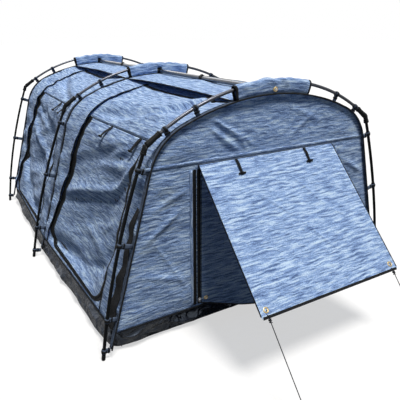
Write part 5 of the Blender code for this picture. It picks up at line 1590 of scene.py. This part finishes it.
def pole_tab(spot, tangent, side, y):
    """A webbing band from the binding round the pole and back, a clip round the pole and a hook under it."""
    inward = Vector((-tangent.z, tangent.x)) if tangent.z > 0 else Vector((tangent.z, -tangent.x))
    if abs(tangent.x) > abs(tangent.z):
        inward = Vector((-abs(inward.x), -abs(inward.y)))
    reach = cloth_reach(spot, inward, y)
    out = Vector((-side * inward.x, 0, -inward.y))
    across = Vector((0, 1, 0))
    along = across.cross(out)
    middle = Vector((side * spot.x, y, spot.z))
    turns = [radians(angle) for angle in range(-70, 251, 16)]
    down = [(0.0011, -reach + 0.005), (0.0011, -TAB_RING * 1.6)]
    path = down + [(TAB_RING * cos(t), TAB_RING * sin(t)) for t in turns] + [(-a, b) for a, b in down[::-1]]
    fine = []
    for (a, b), (c, d) in zip(path, path[1:]):
        fine += [(mix(a, c, s), mix(b, d, s)) for s in (0, 0.5)]
    fine.append(path[-1])
    rows = [[middle + across * a + out * b + along * w for w in TAB_STATIONS] for a, b in fine]
    uvs = [[(index * 0.004, w) for w in TAB_STATIONS] for index in range(len(fine))]
    clip = lathe(CLIP_PROFILE, facing(middle, along), 24)
    turned = Matrix.Translation(middle) @ Matrix((along, across, out)).transposed().to_4x4()
    hook = block((-0.0115, -0.0042, -0.0225), (0.0115, 0.0042, -0.0165), turned, 0.0014)
    return grid(rows, uvs), [clip, hook]


def tabs_of(place, y):
    """All tabs of one hoop, as one piece of webbing and one of fittings; says how many there are."""
    leg = Leg(y)
    spots = []
    for share in CROWN_TABS:
        turn = asin(MOUTH_HALF * share / HOOP_RADIUS)
        spots.append((crown_point(turn, y), Vector((cos(turn), 0, -sin(turn)))))
    for height in [LEG_TOP.y * share for share in LEG_TABS] + [FOOT_TAB]:
        turn = asin((height - leg.centre.y) / leg.radius)
        spots.append((leg.point(turn), Vector((-sin(turn), 0, cos(turn)))))
    bands, fittings = [], []
    for side in (-1, 1):
        for spot, tangent in spots:
            band, parts = pole_tab(spot, tangent, side, y)
            bands.append(band)
            fittings += parts
    thicken(piece(f"pole_tabs_{place}", join(bands), SLATE_TAPE, "shell"), TAB_THICK, 0)
    piece(f"tab_clips_{place}", join(fittings), MOULDED, "shell")
    return len(bands)


for place, y in HOOPS:
    binding(place, y)
    print(place, "tabs:", tabs_of(place, y))

# %% [markdown]
# ## Pole sleeves
# A canvas tunnel wraps the middle of each crown and closes on the binding below. Its ends are bound with
# black tape. The ridge pole enters through a notch, and the front sleeve has a brass eyelet for its end pin.
# The section is worked out anew at each step, because the gap between pole and binding changes on the way.

# %% Sleeves
SLEEVE_HALF, SLEEVE_RADIUS, SLEEVE_FOOT = 0.195, 0.0146, 0.0105
SLEEVE_THICK, SLEEVE_PUCKER, SLEEVE_PIPING = 0.0012, 0.0062, 0.0030
NOTCH = 0.0155
PIN_PROFILE = ((0.0002, 0.0), (0.0044, 0.0), (0.0044, 0.013), (0.0034, 0.0165), (0.0002, 0.0170))


def sleeve_section(turn, y):
    """The cloth round the crown at one turn: up from the binding, over the tube and down again."""
    centre = crown_point(turn, y)
    out = Vector((sin(turn), 0, cos(turn)))
    inward = Vector((-abs(sin(turn)), -cos(turn)))
    depth = cloth_reach(Vector((abs(centre.x), 0, centre.z)), inward, y) - 0.0048
    rising = [(SLEEVE_FOOT, -depth), (SLEEVE_FOOT * 1.12, mix(-depth, 0, 0.33)),
              (SLEEVE_RADIUS * 0.97, mix(-depth, 0, 0.72))]
    angles = [radians(angle) for angle in range(180, -1, -15)]
    over = [(SLEEVE_RADIUS * cos(angle), SLEEVE_RADIUS * sin(angle)) for angle in angles]
    points = []
    for across, up in [(-a, b) for a, b in rising] + over + rising[::-1]:
        pucker = SLEEVE_PUCKER * noise.noise(Vector((turn * 27 + across * 30, across * 34 + y, up * 26)))
        swell = 1 + pucker * smooth((up + depth) / 0.012) / SLEEVE_RADIUS
        points.append(centre + Vector((0, across * swell, 0)) + out * up * (swell if up > 0 else 1))
    return points


def sleeve(place, y, ways):
    """A sleeve with its notches for the ridge, its bound ends, and stitches and piping along its two feet."""
    limit = asin(SLEEVE_HALF / HOOP_RADIUS)
    turns = spread(-limit, limit, 84)
    rows, uvs = [], []
    for turn in turns:
        row = sleeve_section(turn, y)
        rows.append(row)
        girth = [0.0]
        for before, after in zip(row, row[1:]):
            girth.append(girth[-1] + (after - before).length)
        uvs.append([(turn * HOOP_RADIUS + 1, length) for length in girth])

    def is_notch(i, j):
        spot = (rows[i][j] + rows[i + 1][j + 1]) / 2
        away = spot.y - y
        open_side = (1 if away > 0 else -1) in ways
        return open_side and abs(spot.x) < NOTCH and spot.z < RIDGE_Z + NOTCH and abs(away) > 0.004

    cloth = piece(f"sleeve_{place}_cloth", grid(rows, uvs, is_notch), CANVAS, "shell", f"pole_sleeve_{place}")
    thicken(cloth, SLEEVE_THICK, 1)
    ends = [strap_sweep(sleeve_section(turn, y), 0.0052, 0.0036, Vector((cos(turn), 0, -sin(turn))))
            for turn in (-limit + 0.004, limit - 0.004)]
    piece(f"sleeve_tape_{place}", join(ends), BLACK_TAPE, "shell")
    feet = [[row[column] + Vector((0, out, 0.003)) for row in rows]
            for column, out in ((0, -0.0012), (-1, 0.0012))]
    stitches(f"sleeve_stitches_{place}", feet)
    pipings = [sweep([spot + Vector((0, 0, -0.003)) for spot in line], SLEEVE_PIPING, 8) for line in feet]
    piece(f"sleeve_piping_{place}", join(pipings), BLACK_TAPE, "shell")


for (place, y), ways in zip(HOOPS, RIDGE_WAYS):
    sleeve(place, y, ways)
at = Vector((0.0, FRONT - SLEEVE_RADIUS - 0.0005, RIDGE_Z + 0.004))
flat_eyelet("ridge_eyelet", on_axis(at, 90), "shell", 0.011)
piece("ridge_pin", lathe(PIN_PROFILE, on_axis(at + Vector((0, 0.010, 0)), 90), 20), NICKEL, "shell")

# %% [markdown]
# ## Spine covers
# A taut cover spans the roof of each bay between the hoops. Only its ends are sewn down, so its long edges
# stand off the curved roof. A narrow black tape below each edge is painted shade that darkens the gap under
# it.
# A strap with a clip lifts it to the ridge.
# The cover follows the same arch as the canvas, with a smaller sag and a lift of its own.

# %% Spine covers
COVER_GAP, COVER_LIFT, COVER_PEAK, COVER_EDGE = 0.0131, 0.0032, 0.010, 0.0026
CLIP_SHARE, CLIP_HALF = 0.53, 0.011
# Wall and height of the ring of a clip, from its end to its middle
RING_PROFILE = ((0.0003, 0.0), (0.0034, 0.0), (0.0042, 0.0012), (0.0042, 0.007), (0.0030, 0.008))


def spine_cover(bay, bay_front):
    """A bay's cover with its edges and stitches, a black tape of painted shade below each edge, and its strap
    and clip.
    """
    low, high = bay_front + COVER_GAP, bay_front + BAY - COVER_GAP
    clip_y = bay_front + BAY * CLIP_SHARE
    rows, uvs = [], []
    for half in spread(-SPINE_HALF, SPINE_HALF, 40):
        side = -1 if half < 0 else 1
        share = END.share_at_half(abs(half)) if abs(half) > 0.0001 else 1.0
        row = []
        for y in spread(low, high, 70):
            along = bay_share(y)
            between = (4 * along * (1 - along)) ** 0.7
            part = abs(half) / SPINE_HALF
            droop = 0.004 * noise.noise(Vector((y * 5, half * 9, 2.0))) * between
            peak = COVER_PEAK * exp(-(((y - clip_y) / 0.10) ** 2 + (half / 0.05) ** 2))
            lift = COVER_LIFT + (0.012 * part**2 + 0.004) * between + droop * part + peak
            row.append(canvas_point(side, share, y, lift, SPINE_SAG))
        rows.append(row)
        uvs.append([(y + 3, half + 1) for y in spread(low, high, 70)])
    cover = piece(f"spine_cover_{bay}_cloth", grid(rows, uvs), CANVAS, "shell", f"spine_cover_{bay}")
    thicken(cover, CLOTH_THICK)
    for hand, row in (("left", rows[0]), ("right", rows[-1])):
        piece(f"spine_edge_{bay}_{hand}", sweep(row, COVER_EDGE, 8), BLACK_TAPE, "shell")
    stitches(f"spine_stitches_{bay}", [[spot + Vector((0, 0, 0.0004)) for spot in rows[k]] for k in (2, -3)])
    path = [(y, UP_SPINE) for y in spread(low, high, 60)]
    # Painted shade: a black tape on the roof under each edge of the cover.
    for hand, side in HANDS:
        tape_on_cloth(f"edge_shade_tape_{bay}_{hand}", "shell", side, path, -0.006, 0.010, 0.0016, 4)
    roof = canvas_point(1, 1.0, clip_y, COVER_LIFT + 0.004 + COVER_PEAK, SPINE_SAG).z - 0.001
    under, over = RIDGE_Z - RIDGE, RIDGE_Z + RIDGE
    strap = block((-0.010, clip_y - 0.0012, roof), (0.010, clip_y + 0.0012, under - 0.001), bevel=0.0005)
    piece(f"spine_strap_{bay}", strap, BLACK_TAPE, "shell", f"spine_cover_{bay}")
    profile = mirrored([(RIDGE + wall, up) for wall, up in RING_PROFILE], 2 * CLIP_HALF)
    ring = lathe(profile, on_axis((0, clip_y - CLIP_HALF, RIDGE_Z), -90), 32)
    lug = block((-0.012, clip_y - 0.006, under - 0.010), (0.012, clip_y + 0.006, under - 0.002), bevel=0.0016)
    ear = block((-0.004, clip_y - 0.008, over + 0.002), (0.004, clip_y + 0.008, over + 0.0075), bevel=0.0016)
    piece(f"spine_clip_{bay}", join([ring, lug, ear]), MOULDED, "shell", f"spine_cover_{bay}")


for bay, bay_front in BAYS:
    spine_cover(bay, bay_front)

# %% [markdown]
# ## Tub
# The tub is a welded tray of coated cloth. Its walls are slack between the hoops, so they crumple and bulge a
# little over the ground edge, and the spare cloth is folded into two pleats at each corner. Sculpting could
# make the crumples, but noise in code can be changed with one number.

# %% Tub outline
TUB_CORNER, TUB_LEAN, TUB_FLOOR = 0.05, 0.045, 0.003
TUB_HEIGHTS = (0.0004, 0.004, *(0.010 + 0.008 * k for k in range(12)), 0.104, TUB_TOP)
BASE_SHARES = (0.02, 0.35, 0.7, 0.92)


def tub_half(y, height_share):
    """Half the tub's width at a station, from its base to its top edge."""
    at = spread_of(y)
    return mix(mix(0.755, 0.785, at), mix(0.748, 0.779, at), height_share)


def tub_ring(inset, height):
    """Points round the tub at one height, from the middle of its right side on and anticlockwise."""
    part = height / TUB_TOP
    length = BAY - mix(TUB_LEAN, 0, part) - inset
    low, end_half = length - TUB_CORNER, tub_half(BAY, part) - inset
    first = [(tub_half(y, part) - inset, y) for y in spread(0, low, 90)[:-1]]
    first += [(end_half - TUB_CORNER + TUB_CORNER * cos(t), low + TUB_CORNER * sin(t))
              for t in spread(0, pi / 2, 12)]
    first += [(x, length) for x in spread(end_half - TUB_CORNER, 0, 64)[1:-1]]
    back = first[:0:-1]
    return (first + [(0.0, length)] + [(-x, y) for x, y in back] + [(-first[0][0], 0.0)]
            + [(-x, -y) for x, y in first[1:]] + [(0.0, -length)] + [(x, -y) for x, y in back])


def tub_crumple(x, y, height):
    """Outward push of the slack wall; none at its top seam and little at the ground."""
    part = height / TUB_TOP
    free = sin(pi * clamp(part, 0, 1)) ** 0.8
    folds = 0.0190 * noise.noise(Vector((x * 6.0, y * 6.0, height * 22)))
    sharp = 0.0120 * (1 - 2.6 * abs(noise.noise(Vector((x * 10 + height * 14, y * 10, 3.3 + height * 12)))))
    fine = 0.0016 * noise.noise(Vector((x * 26, y * 26, height * 50)))
    bulge = 0.006 * sin(pi * clamp(part * 1.35, 0, 1))
    return (folds + sharp + fine + bulge) * free


def way_out(x, y):
    """The direction in which a point of the wall is pushed: square to its side, or slanting at a corner."""
    if abs(y) > BAY - 0.10 and abs(x) < 0.69:
        return Vector((0, 1 if y > 0 else -1, 0))
    if abs(y) < BAY - 0.10:
        return Vector((1 if x > 0 else -1, 0, 0))
    return Vector((x, y * 0.72, 0)).normalized()


def base_rings(inset, height, shares):
    """Rings on the level base, at shares of its size."""
    return [[Vector((x * share, y * share, height)) for x, y in tub_ring(inset, 0.0)] for share in shares]


def tub_mesh():
    """The base and the crumpled wall outside, then the wall and the base inside, as one closed skin."""
    wall = []
    for height in TUB_HEIGHTS:
        inset = 0.004 * (1 - clamp(height / 0.010))
        wall.append([Vector((x, y, height)) + way_out(x, y) * tub_crumple(x, y, height)
                     for x, y in tub_ring(inset, height)])
    inner = [[spot - Vector((spot.x, spot.y, 0)).normalized() * 0.003 for spot in ring]
             for ring in wall[::-1]]
    for ring in inner:
        for spot in ring:
            spot.z = max(spot.z, TUB_FLOOR)
    outside = base_rings(0.006, 0.0002, BASE_SHARES) + wall
    rings = outside + inner + base_rings(0.012, TUB_FLOOR, BASE_SHARES[::-1])
    made = bmesh.new()
    made.loops.layers.uv.new("weave")
    loops = [[made.verts.new(spot) for spot in ring] for ring in rings]
    band_faces(made, loops)
    made.faces.new(loops[0][::-1])
    made.faces.new(loops[-1])
    bmesh.ops.recalc_face_normals(made, faces=made.faces)
    return finished(made, "tub")


def corner_pleats(x_side, y_side):
    """Two upright folds at a corner of the tub: one on its side wall and one on its end wall."""
    corner = Vector((x_side * 0.742, y_side * 1.036, 0))
    radii = [0.0020 + 0.0045 * sin(pi * s) for s in spread(0, 1, 10)]
    made = []
    for shift in (Vector((x_side * 0.004, y_side * -0.018, 0)), Vector((-x_side * 0.028, y_side * 0.008, 0))):
        path = [corner + shift + Vector((x_side * 0.006 * s, y_side * 0.012 * s, mix(0.012, 0.100, s)))
                for s in spread(0, 1, 10)]
        made.append(sweep(path, radii, 10, 0.6))
    return made


tub = piece("tub_cloth", tub_mesh(), COATED, "shell", "tub")
top_ring = [Vector((x, y, TUB_TOP - 0.001)) for x, y in tub_ring(-0.0022, TUB_TOP)]
welt = piece("tub_welt", sweep(top_ring, 0.0036, 8, closed=True), BLACK_TAPE, "shell")
pleats = [pleat for x_side in (-1, 1) for y_side in (-1, 1) for pleat in corner_pleats(x_side, y_side)]
pleat_folds = piece("tub_pleats", join(pleats), COATED, "shell")
stitches("tub_stitches", [[Vector((x, y, TUB_TOP - 0.006)) for x, y in tub_ring(-0.0026, TUB_TOP - 0.006)]])

# %% [markdown]
# ## Mattress
# A foam mattress in a quilted cover fills the tub. Its channels are sewn after the swelling, because they are
# narrower than a simulation's cells, and piping runs round its top edge.

# %% Mattress
MATTRESS_HALF, MATTRESS_LONG, MATTRESS_LOW, MATTRESS_HIGH = 0.710, 0.985, 0.0034, 0.0684
MATTRESS_INSET, MATTRESS_CORNER = 0.010, 0.05
QUILT_SIZE, QUILT_DEPTH = 0.115, 0.0050
SWELL_FRAMES, SWELL_MOST = 20, 0.007


def mattress_top(u, v):
    """The height of the top at shares of its width and length from -1 to 1."""
    near_edge = smooth((1 - abs(u)) / 0.05) * smooth((1 - abs(v)) / 0.036)
    crown = 0.008 * (1 - u * u) * (1 - v * v)
    soft = 0.0015 * noise.noise(Vector((MATTRESS_HALF * u * 9, MATTRESS_LONG * v * 9, 5.5)))
    return MATTRESS_HIGH - 0.012 * (1 - near_edge) + (crown + soft) * near_edge


def mattress_spot(u, v):
    """The place of a grid point in plan; the grid's corners are rounded."""
    half, long = MATTRESS_HALF - MATTRESS_INSET, MATTRESS_LONG - MATTRESS_INSET
    x, y = half * u, long * v
    over_x, over_y = abs(x) - (half - MATTRESS_CORNER), abs(y) - (long - MATTRESS_CORNER)
    if over_x > 0 and over_y > 0:
        pull = max(over_x, over_y) / sqrt(over_x**2 + over_y**2)
        x = (abs(x) - over_x + over_x * pull) * (1 if x > 0 else -1)
        y = (abs(y) - over_y + over_y * pull) * (1 if y > 0 else -1)
    return x, y


def mattress_mesh():
    """Top, drawn-in sides and flat base on one grid; quilting channels cross the top."""
    xs, ys = spread(-1, 1, 72), spread(-1, 1, 100)
    made = bmesh.new()
    layer = made.loops.layers.uv.new("weave")
    top = [[made.verts.new((*mattress_spot(u, v), mattress_top(u, v))) for v in ys] for u in xs]
    base = [[made.verts.new((*mattress_spot(u, v), MATTRESS_LOW)) for v in ys] for u in xs]
    for i in range(len(xs) - 1):
        for j in range(len(ys) - 1):
            made.faces.new((top[i][j], top[i + 1][j], top[i + 1][j + 1], top[i][j + 1]))
            made.faces.new((base[i][j], base[i][j + 1], base[i + 1][j + 1], base[i + 1][j]))
    rim = [(i, 0) for i in range(len(xs))] + [(len(xs) - 1, j) for j in range(1, len(ys))]
    rim += [(i, len(ys) - 1) for i in range(len(xs) - 2, -1, -1)]
    rim += [(0, j) for j in range(len(ys) - 2, 0, -1)]
    rims = [[top[i][j] for i, j in rim]]
    for part in (0.86, 0.62, 0.40, 0.16):
        bulge = 1.0 + 0.0105 * sin(pi * part) - (0.004 if part == 0.62 else 0.0)
        rims.append([made.verts.new((top[i][j].co.x * bulge, top[i][j].co.y * (1 + (bulge - 1) * 0.72),
                                     mix(MATTRESS_LOW, top[i][j].co.z, part))) for i, j in rim])
    rims.append([base[i][j] for i, j in rim])
    for high, low in zip(rims, rims[1:]):
        for k in range(len(high)):
            after = (k + 1) % len(high)
            made.faces.new((high[k], low[k], low[after], high[after]))
    bmesh.ops.recalc_face_normals(made, faces=made.faces)
    for face in made.faces:
        for loop in face.loops:
            spot = loop.vert.co
            loop[layer].uv = (spot.x, spot.y + spot.z)
    mesh = finished(made, "mattress")
    swell(mesh, SWELL_MOST)
    for vertex in mesh.vertices[:len(xs) * len(ys)]:
        vertex.co.z -= quilting(vertex.co)
    return mesh, [mesh.vertices[i * len(ys) + j].co.copy() for i, j in rim]


def quilting(spot):
    """Depth of the sewn diamonds, fading out before the piped edge."""
    inside = min((MATTRESS_HALF - abs(spot.x)) / 0.05, (MATTRESS_LONG - abs(spot.y)) / 0.05)
    ways = [abs(((spot.x + way * spot.y) / QUILT_SIZE + 0.5) % 1 - 0.5) for way in (1, -1)]
    return QUILT_DEPTH * exp(-((min(ways) / 0.07) ** 2)) * smooth(inside - 0.4)


def swell(mesh, most):
    """A short cloth simulation with pressure inside, so that the cover strains round its filling.

    Each vertex then moves the way that the simulation found, by no more than the given distance.
    """
    scene = bpy.context.scene
    pad = link(bpy.data.objects.new("swelling", mesh.copy()), TICKING)
    resting = pad.vertex_groups.new(name="resting")
    resting.add([v.index for v in mesh.vertices if v.co.z < MATTRESS_LOW + 0.001], 1.0, "REPLACE")
    cloth = pad.modifiers.new("cloth", "CLOTH")
    cloth.settings.vertex_group_mass = "resting"
    cloth.settings.quality = 4
    cloth.settings.use_pressure = True
    cloth.settings.uniform_pressure_force = 4
    cloth.settings.effector_weights.gravity = 0
    cloth.collision_settings.use_collision = False
    cloth.point_cache.frame_start, cloth.point_cache.frame_end = 1, SWELL_FRAMES
    for number in range(1, SWELL_FRAMES + 1):
        scene.frame_set(number)
    done = pad.evaluated_get(bpy.context.evaluated_depsgraph_get()).to_mesh()
    moves = []
    for vertex, swollen in zip(mesh.vertices, done.vertices):
        move = swollen.co - vertex.co
        moves.append(move.length)
        vertex.co += move * min(1.0, most / max(move.length, 1e-6))
    print("simulated cover: mean move", round(sum(moves) / len(moves), 4), "largest", round(max(moves), 4))
    scene.frame_set(1)
    spare = pad.data
    bpy.data.objects.remove(pad)
    bpy.data.meshes.remove(spare)


mesh, rim_path = mattress_mesh()
mattress = piece("mattress_pad", mesh, TICKING, "shell", "mattress")
rim = sweep([spot + Vector((0, 0, -0.001)) for spot in rim_path], 0.0036, 8, closed=True)
piece("mattress_piping", rim, BLACK_TAPE, "shell")
print("mattress", 2 * MATTRESS_HALF, "x", 2 * MATTRESS_LONG)

# %% [markdown]
# ## Zip sliders
# The door's two sliders sit at the foot of their zips. Each is a bevelled nickel body with a bridge and a
# hanging pull, and both ride on their own slide joints. At this size a bevelled block is all that is seen.

# %% Sliders
SLIDER_Z, SLIDER_HALF, SLIDER_DEEP = 0.142, 0.006, 0.0036


def slider(hand, side):
    """A slider's body with its bridge, and its pull."""
    x, z = side * (DOOR_WIDE + SEAT + SLIDER_HALF), SLIDER_Z
    face, level = FRONT - WALL - 0.0033, Vector((1, 0, 0))
    body = block((x - SLIDER_HALF, face - SLIDER_DEEP, z - 0.007), (x + SLIDER_HALF, face, z + 0.011),
                 bevel=0.0014)
    bridge_path = [Vector((x, face - SLIDER_DEEP - 0.0024 * sin(pi * s), mix(z - 0.004, z + 0.008, s)))
                   for s in spread(0, 1, 10)]
    bridge = strap_sweep(bridge_path, 0.0016, 0.0014, level)
    pull_path = [Vector((x, face - 0.0050 - 0.0008 * s, z + 0.002 - 0.013 * s)) for s in spread(0, 1, 8)]
    pull = strap_sweep(pull_path, 0.0030, 0.0013, level)
    piece(f"zip_slider_{hand}_body", join([body, bridge]), NICKEL, f"slider_{hand}", f"zip_slider_{hand}")
    piece(f"zip_pull_{hand}", pull, NICKEL, f"slider_{hand}")


for hand, side in HANDS:
    slider(hand, side)

# %% [markdown]
# ## Floor, light and background
# A soft key from above and in front, a weak wide sun from behind and a pale blue world as fill. Surfaces that
# face up are then lit at about their written colour. The background is white only for the camera, glossy and
# transmission rays, and so is most of the floor, which keeps its shadow.

# %% Stage
FILL, SKY = 0.098, (0.48, 0.71, 1.0)
FLOOR_SIZE, FLOOR_GLOW = 40, 0.6
SUN_COLOUR = (1.0, 0.97, 0.93)


def pale_floor():
    """A floor that sends little light back up, yet looks white to the camera."""
    made = bmesh.new()
    bmesh.ops.create_grid(made, x_segments=8, y_segments=8, size=FLOOR_SIZE)
    material, tree, shader = finish("pale_floor", (0.93, 0.93, 0.93), 0.9)
    grain = speckle(tree, object_place(tree), 40, 3.0)
    rays = tree.nodes.new("ShaderNodeLightPath")
    seen = add_heights(tree, rays.outputs["Is Camera Ray"], rays.outputs["Is Glossy Ray"], 0.3)
    dull = blend_colours(tree, "MIX", 0.5, (0.05, 0.05, 0.05), ramp(tree, grain, ((0.3, 0.97), (0.7, 1.0))))
    tree.links.new(seen, dull.node.inputs[0])
    tree.links.new(dull, shader.inputs["Base Color"])
    glow = tree.nodes.new("ShaderNodeEmission")
    glow.inputs["Color"].default_value = (1, 1, 1, 1)
    share = maths(tree, "MULTIPLY", rays.outputs["Is Camera Ray"], FLOOR_GLOW)
    both = tree.nodes.new("ShaderNodeMixShader")
    tree.links.new(share, both.inputs[0])
    tree.links.new(shader.outputs[0], both.inputs[1])
    tree.links.new(glow.outputs[0], both.inputs[2])
    tree.links.new(both.outputs[0], tree.nodes["Material Output"].inputs["Surface"])
    link(bpy.data.objects.new("floor", finished(made, "floor")), material)


def studio_world():
    """A blue fill for the object, and white for what the camera sees or sees mirrored."""
    world = bpy.data.worlds.new("studio")
    bpy.context.scene.world = world
    world.use_nodes = True
    tree = world.node_tree
    back = tree.nodes["Background"]
    rays = tree.nodes.new("ShaderNodeLightPath").outputs
    seen = maths(tree, "MAXIMUM", rays["Is Camera Ray"], rays["Is Transmission Ray"])
    seen = maths(tree, "MAXIMUM", seen, rays["Is Glossy Ray"])
    tint = blend_colours(tree, "MIX", 0.5, SKY, (1, 1, 1))
    tree.links.new(seen, tint.node.inputs[0])
    tree.links.new(tint, back.inputs["Color"])
    level = tree.nodes.new("ShaderNodeMapRange")
    level.inputs["To Min"].default_value = FILL
    level.inputs["To Max"].default_value = 1.0
    tree.links.new(seen, level.inputs["Value"])
    tree.links.new(level.outputs["Result"], back.inputs["Strength"])


def sun(name, way, strength, softness):
    """A sun that lights a surface square to it at its written colour when its strength is 1."""
    lamp = bpy.data.objects.new(name, bpy.data.lights.new(name, "SUN"))
    lamp.data.energy = strength * pi
    lamp.data.color = SUN_COLOUR
    lamp.data.angle = radians(softness)
    lamp.rotation_euler = Vector(way).to_track_quat("Z", "Y").to_euler()
    bpy.context.scene.collection.objects.link(lamp)


pale_floor()
studio_world()
sun("key", (0.03, -0.33, 0.94), 1.13, 16)
sun("rear", (0.20, 0.80, 0.56), 0.22, 40)
bpy.context.scene.view_settings.view_transform = "Standard"
